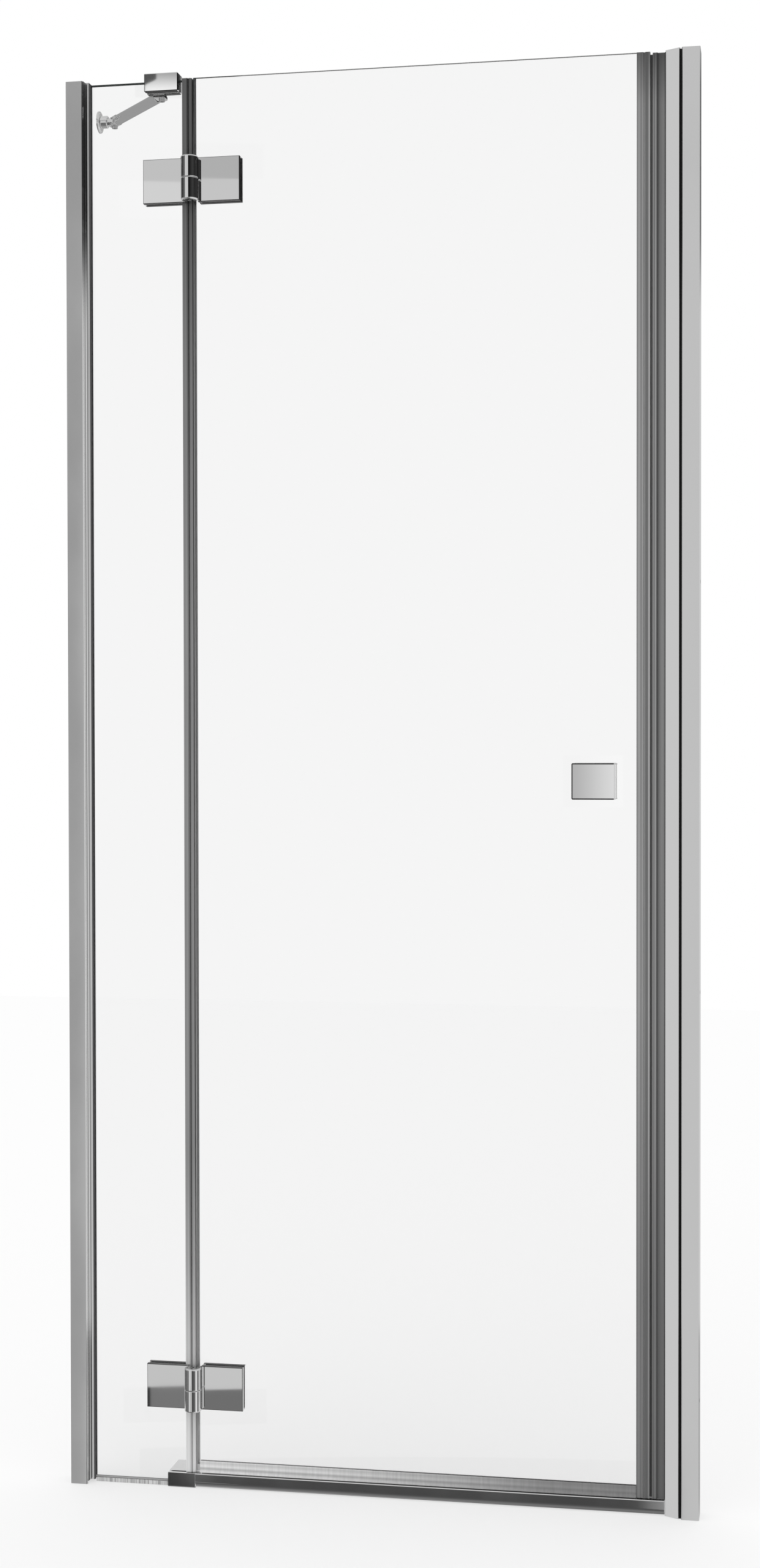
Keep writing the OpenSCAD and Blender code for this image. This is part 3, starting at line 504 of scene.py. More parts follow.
DRIP_SEAL = RibbedSealPaintedLight(
    "drip_seal",
    across="Z",
    span=(20.0, 46.0),
    rib_light=(
        (0.0, 0.3), (0.15, 0.7), (0.3, 0.1), (0.42, 0.8),
        (0.6, 0.4), (0.72, 0.75), (0.86, 0.3), (1.0, 0.9),
    ),
    along="X",
    reach=(-262.0, 380.0),
    tones=(
        (0.0, 0.42, 0.95), (0.3, 0.38, 0.80), (0.6, 0.28, 0.50),
        (0.78, 0.20, 0.30), (1.0, 0.18, 0.26),
    ),
)


class Finishes:
    """Every finish of the door, built once: those of the slots by name, and the others."""

    def __init__(self) -> None:
        """Build the materials."""
        steel_marks, steel_gloss = (300.0, 2500.0, 2500.0), (0.8, 1.3)
        slots = (
            Metal("chrome_profile", (CHROME,) * 3, 0.04),
            Metal("chrome_fitting", (CHROME,) * 3, 0.012),
            ClearGlass("glass", (0.935,) * 3, 0.0),
            ClearSeal("clear_seal", (0.4,) * 3, 0.18),
            Rubber("rubber", (0.05, 0.05, 0.052), 0.6),
            Metal("steel", (0.62,) * 3, 0.28, steel_marks, 2.0, steel_gloss, 0.01),
            Moulded("nylon", (0.30,) * 3, 0.45),
            Moulded("magnet_strip", (0.035, 0.035, 0.038), 0.5),
        )
        self.by_slot = {finish.name: finish.build() for finish in slots}
        # Glass edges in painted shade, darker towards the top and by the hinges.
        self.glass_edge_painted_shade = GlassEdgePaintedShade("glass_edge_painted_shade", (0.028, 0.032, 0.031), 0.15).build()
        # Near-black painted shade for the strike's groove and the fin behind the magnets.
        self.shadow_line = Rubber("shadow_line", (0.004,) * 3, 0.9).build()
        # Dark chrome for the bevels: a painted dark reflection along the edges.
        self.chrome_edge_painted_dark = Metal("chrome_edge_painted_dark", (CHAMFER_DARK_REFLECTION,) * 3, 0.012).build()
        self.post_seal = POST_SEAL.build()
        self.magnet_seal = MAGNET_SEAL.build()
        self.strike_seal = STRIKE_SEAL.build()
        self.drip_seal = DRIP_SEAL.build()


# ------------------------------------------------------------------- Studio


@dataclass
class Studio:
    """Floor, surroundings, light and camera. Sizes and places are in metres."""

    focal_px: float = 3712.0
    image_h: float = 2560.0
    sensor: float = 36.0
    camera_at: Triple = (0.58235, -3.12657, 1.05978)
    yaw: float = 0.1834
    pitch: float = 0.01764
    roll: float = -0.00159
    floor_size: float = 12.0
    floor_z: float = -0.0005
    floor_grey: float = 0.30
    floor_glow: float = 0.60
    lamp_size: float = 2.5
    lamp_power: float = 12.0
    lamp_at: Triple = (-1.2, -2.6, 3.4)

    def place_camera(self) -> None:
        """Set the camera where the photograph was taken from."""
        data = bpy.data.cameras.new("camera")
        data.sensor_width = self.sensor
        data.lens = self.focal_px / self.image_h * self.sensor
        camera = bpy.data.objects.new("camera", data)
        bpy.context.scene.collection.objects.link(camera)
        turn = (
            Matrix.Rotation(self.yaw, 4, "Z")
            @ Matrix.Rotation(math.pi / 2 - self.pitch, 4, "X")
            @ Matrix.Rotation(self.roll, 4, "Z")
        )
        camera.matrix_world = Matrix.Translation(self.camera_at) @ turn
        bpy.context.scene.camera = camera

    def lay_floor(self) -> None:
        """Lay the pale floor just under the door; it glows faintly, as lit from all sides."""
        place = (0.0, 0.0, self.floor_z)
        bpy.ops.mesh.primitive_plane_add(size=self.floor_size, location=place)
        floor = bpy.context.object
        floor.name = "floor"
        nodes = Shading("floor", (self.floor_grey,) * 3, 0.9)
        nodes.set("Emission Color", (1.0, 1.0, 1.0, 1.0))
        nodes.set("Emission Strength", self.floor_glow)
        floor.data.materials.append(nodes.material)
        floor.visible_glossy = False

    def light(self) -> None:
        """Hang one large soft light above and in front, aimed at the door."""
        data = bpy.data.lights.new("soft_light", "AREA")
        data.shape = "RECTANGLE"
        data.size = data.size_y = self.lamp_size
        data.energy = self.lamp_power
        lamp = bpy.data.objects.new("soft_light", data)
        bpy.context.scene.collection.objects.link(lamp)
        lamp.location = self.lamp_at
        lamp.rotation_euler = (UP - lamp.location).to_track_quat("-Z", "Y").to_euler()
        lamp.visible_glossy = lamp.visible_transmission = False

    def build(self) -> None:
        """Set up the whole studio."""
        bpy.context.scene.view_settings.view_transform = "Standard"
        self.lay_floor()
        self.light()
        world = bpy.data.worlds.new("studio")
        world.use_nodes = True
        bpy.context.scene.world = world
        Surroundings(world.node_tree).build()
        self.place_camera()
        log.info("studio: floor, light, surroundings and camera")


@dataclass(frozen=True)
class Panel:
    """A soft-edged panel of the studio, as chrome sees it.

    Angles are in degrees. Round angles start at -Y and grow towards +X, and
    up angles are above the horizon. Level is the chrome's brightness there.
    Level_to is the level at round_to, and level_up the level at up_to. Lean
    moves the panel's sides by its first number between its other two heights.
    """

    round_from: float
    round_to: float
    up_from: float
    up_to: float
    level: float
    soft: float = 0.1
    level_to: float | None = None
    level_up: float | None = None
    soft_up: float | None = None
    lean: tuple[float, float, float] | None = None


@dataclass(frozen=True)
class Belt:
    """A belt of the studio: its heights, and how its level changes on the way round."""

    up_from: float
    up_to: float
    soft: float
    stops: Stops


BELTS = (
    Belt(-90.0, 90.0, 0.5, (
        (-180.0, 0.45), (-150.0, 0.30), (-100.0, 0.35), (-60.0, 0.30),
        (-4.0, 0.30), (0.0, 0.24), (14.0, 0.22), (30.0, 0.62),
        (70.0, 0.68), (110.0, 0.62), (160.0, 0.68), (180.0, 0.45),
    )),
    Belt(11.5, 16.9, 1.2, (
        (-180.0, 0.30), (-160.0, 0.03), (-100.0, 0.07), (-75.0, 0.045), (-46.0, 0.05),
        (0.0, 0.006), (12.0, 0.008), (60.0, 0.042), (90.0, 0.02), (113.0, 0.01),
        (150.0, 0.03), (160.0, 0.015), (174.0, 0.02), (180.0, 0.30),
    )),
    Belt(-18.6, -14.4, 0.4, (
        (-180.0, 0.45), (-170.0, 0.02), (-126.0, 0.03), (-116.0, 0.17), (-75.0, 0.12),
        (-62.0, 0.04), (-50.0, 0.06), (0.0, 0.005), (8.0, 0.06), (36.0, 0.11),
        (47.0, 0.25), (53.0, 0.83), (66.0, 0.70), (76.0, 0.14), (95.0, 0.28),
        (105.0, 0.30), (109.0, 0.70), (115.0, 0.05), (160.0, 0.01), (180.0, 0.45),
    )),
)

PANELS = (
    # What the panes mirror, level all over them, and the light streak on the barrels.
    Panel(-45.0, -18.0, -90.0, 90.0, 0.60, 0.8),
    Panel(-19.0, -3.6, -90.0, 90.0, 0.55, 0.1),
    # The strike's slanted face and the wall profiles' faces.
    Panel(-60.5, -56.0, -90.0, 90.0, 0.558, 0.5),
    Panel(-18.8, -17.85, -30.0, 30.0, 0.305, 0.03),
    Panel(-17.84, -17.60, 8.0, 30.0, 0.22, 0.03, soft_up=6.0),
    Panel(-3.4, -1.6, -30.0, 30.0, 0.521, 0.15),
    Panel(160.5, 163.0, 8.0, 17.5, 0.05, 0.4, soft_up=3.0),
    # The hinge leaves' fronts, upper and lower halves.
    Panel(-17.00, -15.25, 13.78, 14.60, 0.525, 0.02),
    Panel(-17.00, -15.25, 12.90, 13.78, 0.632, 0.02),
    Panel(-15.20, -13.40, 13.87, 14.70, 0.425, 0.02),
    Panel(-15.20, -13.40, 13.00, 13.87, 0.552, 0.02),
    Panel(-17.00, -15.25, -15.78, -15.00, 0.533, 0.02),
    Panel(-17.00, -15.25, -16.60, -15.78, 0.172, 0.02),
    Panel(-15.20, -13.40, -15.88, -15.10, 0.548, 0.02),
    Panel(-15.20, -13.40, -16.70, -15.88, 0.153, 0.02),
    Panel(-16.46, -16.33, -16.45, -15.78, 0.030, 0.02),
    # Their undersides, tops and outer sides.
    Panel(-172.0, -160.0, -14.6, -12.4, 0.09),
    Panel(-180.0, -160.0, 14.2, 16.9, 0.11),
    Panel(165.4, 166.6, -17.8, -14.8, 0.85),
    # The knob: its front, its side and its top.
    Panel(-5.90, -4.40, -1.60, -0.30, 0.42, 0.02, level_to=0.71),
    Panel(173.5, 177.0, -2.0, 0.4, 0.95),
    Panel(-179.0, -172.0, -0.2, 1.2, 0.03),
    # The clamp: a dark patch beside its bright front, and its side and underside.
    Panel(-16.60, -15.40, 15.72, 16.50, 0.085, 0.02),
    Panel(-16.36, -15.20, 15.80, 16.40, 0.92, 0.02, level_up=0.33, lean=(0.29, 15.98, 16.17)),
    Panel(164.2, 164.55, 15.6, 16.6, 0.015, 0.01),
    Panel(164.55, 164.9, 15.6, 16.6, 0.50, 0.01),
    Panel(-170.0, -160.0, -15.98, -15.0, 0.46, 0.02),
    Panel(-170.0, -160.0, -16.20, -15.735, 0.05, 0.01),
    # The wall flange's disc.
    Panel(162.35, 163.3, 14.7, 15.5, 0.39, 0.04),
    # The threshold: tops that darken to the right, and fronts.
    Panel(-180.0, -160.0, 17.1, 90.0, 0.68, 0.1),
    Panel(-178.0, -166.0, 17.1, 90.0, 0.12, 0.1, level_to=0.68),
    Panel(-200.0, 200.0, -95.0, -74.0, 0.15, 4.0),
    Panel(-181.0, -160.0, -95.0, -30.0, 0.14, 2.0),
    Panel(-15.21, -3.6, -90.0, -17.50, 0.055, 0.03),
    Panel(-100.0, -3.0, -80.0, -26.0, 0.17, 3.0, level_up=0.07),
    Panel(-16.60, -15.21, -22.0, -17.20, 0.026, 0.03),
    Panel(-3.80, -3.15, -22.0, -17.20, 0.19, 0.03),
)


class Surroundings(Wiring):
    """Shader of the world: white to the eye, and a studio of panels to what chrome mirrors."""

    daylight: float = 1.22
    overhead_up: tuple[float, float] = (17.0, 17.4)
    overhead_level: float = 0.7
    brace_way: Triple = (-0.67, 0.742, 0.0)
    brace_ring: float = 0.868
    brace_spread: float = 0.035
    brace_level: float = 0.29

    def __init__(self, tree: bpy.types.NodeTree) -> None:
        """Start with the direction's angles.

        Args:
            tree: The world's node tree.
        """
        super().__init__(tree)
        self.direction = self.node("ShaderNodeTexCoord").outputs["Generated"]
        x, y, z = self.node("ShaderNodeSeparateXYZ", {0: self.direction}).outputs
        front = self.math("MULTIPLY", y, -1.0)
        self.round = self.math("DEGREES", self.math("ARCTAN2", x, front))
        self.up = self.math("DEGREES", self.math("ARCSINE", z))

    def math(self, operation: str, *terms: object) -> Socket:
        """Add one step of arithmetic on sockets or numbers."""
        return self.node("ShaderNodeMath", dict(enumerate(terms)), operation=operation).outputs[0]

    def step(self, value: Socket, *spans: float) -> Socket:
        """Go smoothly over the spans that remap takes."""
        return self.remap(value, *spans, curve="SMOOTHSTEP")

    def span(self, value: Socket, low: float, high: float, soft: float) -> Socket:
        """Give 1 between two values and 0 outside, with soft edges.

        Args:
            value: What is read.
            low: The lower value.
            high: The upper value.
            soft: Half the width of each edge.

        Returns:
            The mask.
        """
        rise = self.step(value, low - soft, low + soft)
        fall = self.step(value, high - soft, high + soft)
        return self.math("SUBTRACT", rise, fall)

    def cover(self, below: Socket, mask: Socket, shade: object) -> Socket:
        """Cover what is there with a shade where the mask is 1."""
        rest = self.math("MULTIPLY", below, self.math("SUBTRACT", 1.0, mask))
        return self.math("MULTIPLY_ADD", mask, shade, rest)

    def belt(self, belt: Belt) -> Socket:
        """Give a belt's level all the way round.

        Args:
            belt: The belt.

        Returns:
            Its brightness.
        """
        turn = self.math("DIVIDE", self.math("ADD", self.round, 180.0), 360.0)
        stops = greys([((place + 180.0) / 360.0, level) for place, level in belt.stops])
        return self.math("DIVIDE", self.ramp(turn, stops), CHROME)

    def ring(self, below: Socket) -> Socket:
        """Lay the ring that the round brace mirrors, so that it is one flat grey.

        Args:
            below: Brightness without the ring.

        Returns:
            Brightness with the ring.
        """
        inputs = {0: self.direction, 1: self.brace_way}
        dot = self.node("ShaderNodeVectorMath", inputs, operation="DOT_PRODUCT")
        near, far = self.brace_ring - self.brace_spread, self.brace_ring + self.brace_spread
        mask = self.span(dot.outputs["Value"], near, far, self.brace_spread / 4)
        return self.cover(below, mask, self.brace_level / CHROME)

    def lay(self, below: Socket, panel: Panel) -> Socket:
        """Lay a panel over what is there already.

        Args:
            below: Brightness without the panel.
            panel: The panel to add.

        Returns:
            Brightness with the panel.
        """
        turn = self.round
        if panel.lean is not None:
            shift, low, high = panel.lean
            turn = self.math("SUBTRACT", turn, self.step(self.up, low, high, 0.0, shift))
        sides, heights = (panel.round_from, panel.round_to), (panel.up_from, panel.up_to)
        across = self.span(turn, *sides, panel.soft)
        soft_up = panel.soft if panel.soft_up is None else panel.soft_up
        upwards = self.span(self.up, *heights, soft_up)
        level = panel.level / CHROME
        shade: object = level
        if panel.level_to is not None:
            shade = self.step(self.round, *sides, level, panel.level_to / CHROME)
        if panel.level_up is not None:
            shade = self.step(self.up, *heights, level, panel.level_up / CHROME)
        return self.cover(below, self.math("MULTIPLY", across, upwards), shade)

    def build(self) -> None:
        """Link belts and panels to the world's output, for rays that something mirrored."""
        brightness = self.belt(BELTS[0])
        for belt in BELTS[1:]:
            mask = self.span(self.up, belt.up_from, belt.up_to, belt.soft)
            brightness = self.cover(brightness, mask, self.belt(belt))
        overhead = self.step(self.up, *self.overhead_up)
        brightness = self.ring(self.cover(brightness, overhead, self.overhead_level))
        for panel in PANELS:
            brightness = self.lay(brightness, panel)
        rays = self.node("ShaderNodeLightPath").outputs
        mirrored = self.math("MINIMUM", rays["Glossy Depth"], 1.0)
        plain = self.math("MULTIPLY_ADD", rays["Is Diffuse Ray"], self.daylight - 1.0, 1.0)
        background = self.tree.nodes["Background"].inputs
        self.feed(background["Strength"], self.cover(plain, mirrored, brightness))
        self.feed(background["Color"], (1.0, 1.0, 1.0, 1.0))


# ----------------------------------------------------------------- Modelling


@dataclass(frozen=True)
class Box:
    """A box from its lowest to its highest corner, in millimetres."""

    low: Vector
    high: Vector

    @classmethod
    def of(cls, node: str) -> "Box":
        """Measure a CAD node."""
        low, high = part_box(node)
        return cls(low / MM, high / MM)

    @property
    def centre(self) -> Vector:
        """The box's middle."""
        return (self.low + self.high) / 2


def deselect() -> None:
    """Clear the selection."""
    bpy.ops.object.select_all(action="DESELECT")


def take(piece: Piece) -> None:
    """Make a piece the only selected and the active object.

    Args:
        piece: The piece to work on.
    """
    deselect()
    piece.select_set(True)
    bpy.context.view_layer.objects.active = piece


def settle(name: str) -> Piece:
    """Name the new primitive and put its place into its mesh.

    Args:
        name: The piece's name.

    Returns:
        The piece.
    """
    piece = bpy.context.object
    piece.name = piece.data.name = name
    take(piece)
    bpy.ops.object.transform_apply()
    return piece


@contextmanager
def editing(piece: Piece, kind: str = "FACE") -> Iterator[bmesh.types.BMesh]:
    """Open a piece in edit mode with nothing selected.

    Args:
        piece: The piece to edit.
        kind: VERT, EDGE or FACE, what is going to be selected.

    Yields:
        The mesh, to select in.
    """
    take(piece)
    bpy.ops.object.mode_set(mode="EDIT")
    bpy.ops.mesh.select_mode(type=kind)
    bpy.ops.mesh.select_all(action="DESELECT")
    yield bmesh.from_edit_mesh(piece.data)
    bpy.ops.object.mode_set(mode="OBJECT")


def face_outwards() -> None:
    """Turn all faces of the edited mesh outwards."""
    bpy.ops.mesh.select_all(action="SELECT")
    bpy.ops.mesh.normals_make_consistent(inside=False)


def block(name: str, low: Point, high: Point) -> Piece:
    """Add a cube at its size and place.

    Args:
        name: The piece's name.
        low: Lowest corner.
        high: Highest corner.

    Returns:
        The piece.
    """
    deselect()
    start, end = Vector(low) * MM, Vector(high) * MM
    bpy.ops.mesh.primitive_cube_add(size=1.0, location=(start + end) / 2)
    bpy.context.object.scale = end - start
    return settle(name)


def rod(name: str, start: Point, end: Point, radius: float, around: int = AROUND) -> Piece:
    """Add a cylinder between two points.

    Args:
        name: The piece's name.
        start: One end's centre.
        end: The other end's centre.
        radius: Radius.
        around: Number of sides.

    Returns:
        The piece.
    """
    deselect()
    a, b = Vector(start) * MM, Vector(end) * MM
    bpy.ops.mesh.primitive_cylinder_add(
        vertices=around,
        radius=radius * MM,
        depth=(b - a).length,
        location=(a + b) / 2,
        rotation=UP.rotation_difference(b - a).to_euler(),
    )
    return settle(name)


def section(name: str, outline: Sequence[Point], axis: str, start: float, end: float) -> Piece:
    """Extrude an outline along an axis.

    Args:
        name: The piece's name.
        outline: Points in the plane across the axis.
        axis: X, Y or Z.
        start: Where the extrusion starts.
        end: Where it ends.

    Returns:
        The piece.
    """
    deselect()
    bpy.ops.mesh.primitive_circle_add(vertices=len(outline), radius=MM, fill_type="NGON")
    piece = settle(name)
    along = AXES[axis]
    for vertex, (u, v) in zip(piece.data.vertices, outline):
        place = [u * MM, v * MM]
        place.insert(along, start * MM)
        vertex.co = place
    move = [0.0, 0.0, 0.0]
    move[along] = (end - start) * MM
    with editing(piece):
        bpy.ops.mesh.select_all(action="SELECT")
        bpy.ops.mesh.extrude_region_move(TRANSFORM_OT_translate={"value": move})
        face_outwards()
    return piece


def turned(name: str, profile: Sequence[Point], origin: Point, axis: Point, across: Point) -> Piece:
    """Spin a profile round an axis.

    Args:
        name: The piece's name.
        profile: Points (radius, height), a closed loop.
        origin: Where height is zero on the axis.
        axis: Direction of the axis.
        across: Direction in which the profile lies.

    Returns:
        The piece.
    """
    deselect()
    bpy.ops.mesh.primitive_circle_add(vertices=len(profile), radius=MM, fill_type="NOTHING")
    piece = settle(name)
    centre, axis = Vector(origin), Vector(axis)
    for vertex, (radius, height) in zip(piece.data.vertices, profile):
        vertex.co = (centre + Vector(across) * radius + axis * height) * MM
    with editing(piece, "EDGE"):
        bpy.ops.mesh.select_all(action="SELECT")
        bpy.ops.mesh.spin(
            steps=AROUND, angle=math.tau, center=centre * MM, axis=axis, use_auto_merge=True
        )
        bpy.ops.mesh.select_all(action="SELECT")
        bpy.ops.mesh.remove_doubles(threshold=WELD * MM)
        bpy.ops.mesh.dissolve_degenerate(threshold=WELD / 10 * MM)
        face_outwards()
    return piece


def modify(piece: Piece, kind: str, **settings: object) -> None:
    """Add a modifier and apply it.

    Args:
        piece: The piece to change.
        kind: Blender's name of the modifier.
        **settings: The modifier's settings.
    """
    take(piece)
    modifier = piece.modifiers.new(kind.lower(), kind)
    for name, value in settings.items():
        setattr(modifier, name, value)
    bpy.ops.object.modifier_apply(modifier=modifier.name)


def ease(piece: Piece, width: float, segments: int = 2) -> None:
    """Round every sharp edge of a piece.

    Args:
        piece: The piece to change.
        width: Width of the rounding.
        segments: Faces across it.
    """
    limit = {"limit_method": "ANGLE", "angle_limit": math.radians(SHARP)}
    modify(piece, "BEVEL", width=width * MM, segments=segments, **limit)


def in_plane(edge: Edge, axis: str, place: float, near: float = 0.1) -> bool:
    """Tell whether an edge lies near the plane across an axis at a place."""
    return all(abs(vertex.co[AXES[axis]] / MM - place) < near for vertex in edge.verts)


def bevel_where(piece: Piece, test: Callable[[Edge], bool], width: float, segments: int) -> None:
    """Bevel the edges that pass a test.

    Args:
        piece: The piece to change.
        test: Says yes to an edge.
        width: Width of the bevel.
        segments: Faces across it.
    """
    with editing(piece, "EDGE") as mesh:
        for edge in mesh.edges:
            edge.select_set(test(edge))
        bmesh.update_edit_mesh(piece.data)
        bpy.ops.mesh.bevel(offset=width * MM, segments=segments, affect="EDGES")


def combine(operation: str, piece: Piece, *tools: Piece) -> None:
    """Join tools to a piece, cut them away or keep what they share, and delete them.

    Args:
        operation: UNION, DIFFERENCE or INTERSECT.
        piece: The piece to change.
        *tools: The other solids, in order.
    """
    for tool in tools:
        modify(piece, "BOOLEAN", operation=operation, object=tool, solver="EXACT")
        bpy.data.meshes.remove(tool.data)


def unite(piece: Piece, *tools: Piece) -> None:
    """Join solids to a piece."""
    combine("UNION", piece, *tools)


def cut(piece: Piece, *tools: Piece) -> None:
    """Cut solids away from a piece."""
    combine("DIFFERENCE", piece, *tools)


def drill(piece: Piece, start: Point, end: Point, radius: float, around: int = 48) -> None:
    """Drill a hole between two points, with a number of sides around."""
    cut(piece, rod("drill", start, end, radius, around))


def two_tone(
    piece: Piece, plain: Material, other: Material, test: Callable[[bpy.types.MeshPolygon], bool]
) -> None:
    """Give a piece its finish, and another one on the faces that pass a test.

    Args:
        piece: The piece to dress.
        plain: Its finish.
        other: Finish of the faces that pass.
        test: Says yes to a face.
    """
    piece.data.materials.append(plain)
    piece.data.materials.append(other)
    for face in piece.data.polygons:
        face.material_index = int(test(face))


def polish(piece: Piece, angle: float = 50.0, bend: float = 0.5, ratio: float = 6.0) -> None:
    """Shade a piece smooth, with its flat faces kept flat.

    Args:
        piece: The piece to shade.
        angle: Edges sharper than this stay crisp, in degrees.
        bend: Least bend in degrees between faces that are told apart.
        ratio: How many times larger a flat face is than the rounding beside it.
    """
    take(piece)
    bpy.ops.object.shade_smooth_by_angle(angle=math.radians(angle))
    with editing(piece, "EDGE") as mesh:
        for edge in mesh.edges:
            areas = sorted(face.calc_area() for face in edge.link_faces)
            bends = edge.calc_face_angle(0.0) > math.radians(bend)
            edge.select_set(bends and areas[-1] > ratio * areas[0])
        bmesh.update_edit_mesh(piece.data)
        bpy.ops.mesh.mark_sharp()
    modify(piece, "WEIGHTED_NORMAL", keep_sharp=True)


def copy(piece: Piece, name: str) -> Piece:
    """Copy a piece with its own mesh.

    Args:
        piece: The piece to copy.
        name: The copy's name.

    Returns:
        The copy.
    """
    take(piece)
    bpy.ops.object.duplicate()
    twin = bpy.context.object
    twin.name = twin.data.name = name
    return twin


def shifted(piece: Piece, name: str, move: Point) -> Piece:
    """Copy a piece to another place.

    Args:
        piece: The piece to copy.
        name: The copy's name.
        move: Way from the piece to its copy.

    Returns:
        The copy.
    """
    twin = copy(piece, name)
    twin.location = Vector(move) * MM
    bpy.ops.object.transform_apply()
    return twin


def flipped(piece: Piece, name: str, axis: str) -> Piece:
    """Copy a piece to the other side of the frame's middle.

    Args:
        piece: The piece to copy.
        name: The copy's name.
        axis: The axis whose sign is turned.

    Returns:
        The copy, its faces outwards.
    """
    twin = copy(piece, name)
    twin.scale[AXES[axis]] = -1.0
    bpy.ops.object.transform_apply()
    with editing(twin):
        face_outwards()
    polish(twin)
    return twin


def half_turned(piece: Piece, name: str, centre: Vector) -> Piece:
    """Copy a piece and turn the copy half round an axis along Y.

    Args:
        piece: The piece to copy.
        name: The copy's name.
        centre: A point on the axis.

    Returns:
        The copy.
    """
    twin = copy(piece, name)
    bpy.ops.transform.rotate(value=math.pi, orient_axis="Y", center_override=centre * MM)
    bpy.ops.object.transform_apply()
    return twin


def arc(x: float, y: float, radius: float, start: float, end: float, steps: int = 10) -> Outline:
    """Give the points of an arc.

    Args:
        x: Centre's first coordinate.
        y: Centre's second coordinate.
        radius: Radius.
        start: Angle of the first point in degrees.
        end: Angle of the last point.
        steps: Number of steps.

    Returns:
        The points.
    """
    turns = (math.radians(start + (end - start) * i / steps) for i in range(steps + 1))
    return [(x + radius * math.cos(t), y + radius * math.sin(t)) for t in turns]


def mirrored(points: Sequence[Point]) -> Outline:
    """Add the points' mirror images across the first axis."""
    return [*points, *((u, -v) for u, v in reversed(points))]


@dataclass
class Assembly:
    """A sub-assembly of the door."""

    finishes: Finishes

    def deliver(self, piece: Piece, *nodes: str, material: Material | None = None) -> None:
        """Hand a finished piece to its nodes' body.

        Args:
            piece: The finished piece.
            *nodes: The CAD nodes that it stands for.
            material: Its material, unless it is the slot's own.
        """
        slot = SLOTS[nodes[0]]
        if not piece.data.materials:
            piece.data.materials.append(material or self.finishes.by_slot[slot])
        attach(piece, frame["nodes"][nodes[0]]["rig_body"])
        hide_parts(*nodes)
        log.info("%s: %d faces for %s", piece.name, len(piece.data.polygons), ", ".join(nodes))

    def finish(
        self, piece: Piece, node: str, angle: float = 50.0, material: Material | None = None
    ) -> None:
        """Polish a piece, with edges crisp above an angle, and deliver it."""
        polish(piece, angle)
        self.deliver(piece, node, material=material)

    def paint_dark_edges(self, piece: Piece, low: Point, high: Point, flat: float = 0.985) -> None:
        """Give a piece bright chrome, and a darker one on the bevels inside a box, as a painted
        dark reflection.

        Args:
            piece: The piece to dress.
            low: The box's lowest corner.
            high: The box's highest corner.
            flat: How square to an axis a face is that is no bevel.
        """

        def on_bevel(face: bpy.types.MeshPolygon) -> bool:
            """Tell whether a face is a bevel's and lies in the box."""
            slanted = max(map(abs, face.normal)) < flat
            return slanted and all(a < b / MM < c for a, b, c in zip(low, face.center, high))

        # The bevels in the box get the painted dark reflection.
        chrome = self.finishes.by_slot["chrome_fitting"]
        two_tone(piece, chrome, self.finishes.chrome_edge_painted_dark, on_bevel)

    def build(self) -> None:
        """Make the sub-assembly's pieces."""
        raise NotImplementedError


@dataclass
class CadNodes(Assembly):
    """The CAD nodes, each dressed in the finish of its slot."""

    def build(self) -> None:
        """Dress the nodes; the pieces modelled here then take the place of some."""
        for node, slot in SLOTS.items():
            material = self.finishes.by_slot[slot]
            materials = frame["nodes"][node].data.materials
            materials.clear()
            materials.append(material)
            log.info("node %s: %s", node, material.name)


# ------------------------------------------------------------- Wall profiles


@dataclass
class WallProfiles(Assembly):
    """The two channels that stand against the walls."""

    wall: float = 1.8
    lip_r: float = 1.6
    back_r: float = 0.5
    edge: float = 0.25
    screws: int = 4
    screw_r: float = 2.75
    screw_inset: float = 160.0
    lock_r: float = 2.05
    lock_in: float = 5.0
    lock_head: float = 3.5

    def outline(self, width: float, half: float) -> Outline:
        """Draw the channel, open towards the middle, with the wall at zero.

        Args:
            width: Width of its front.
            half: Half its depth.

        Returns:
            The outline.
        """
        outer = arc(self.back_r, -half + self.back_r, self.back_r, 180, 270, 4)
        lip = arc(width - self.lip_r, -half + self.lip_r, self.lip_r, 270, 360)
        inner = [(width, -half + self.wall), (self.wall, -half + self.wall)]
        return mirrored([*outer, *lip, *inner])

    def build(self) -> None:
        """Make the left channel and its mirror image."""
        box = Box.of("wall_profile_left")
        locks = Box.of("lock_screws")
        half, (x0, _, z0), z1 = box.high.y, box.low, box.high.z
        points = [(x0 + u, v) for u, v in self.outline(box.high.x - x0, half)]
        left = section("wall_channel_left", points, "Z", z0, z1)
        ease(left, self.edge)
        pitch = z1 - z0 - 2 * self.screw_inset
        for step in range(self.screws):
            z = z0 + self.screw_inset + pitch * step / (self.screws - 1)
            drill(left, (x0 - 1, 0, z), (x0 + 4, 0, z), self.screw_r)
        x = box.high.x - self.lock_in
        first, last = locks.low.z, locks.high.z
        for z in (first + self.lock_head, (first + last) / 2, last - self.lock_head):
            drill(left, (x, 0, z), (x, half + 1, z), self.lock_r)
        polish(left)
        right = flipped(left, "wall_channel_right", "X")
        self.deliver(left, "wall_profile_left")
        self.deliver(right, "wall_profile_right")


# --------------------------------------------------------------------- Panes


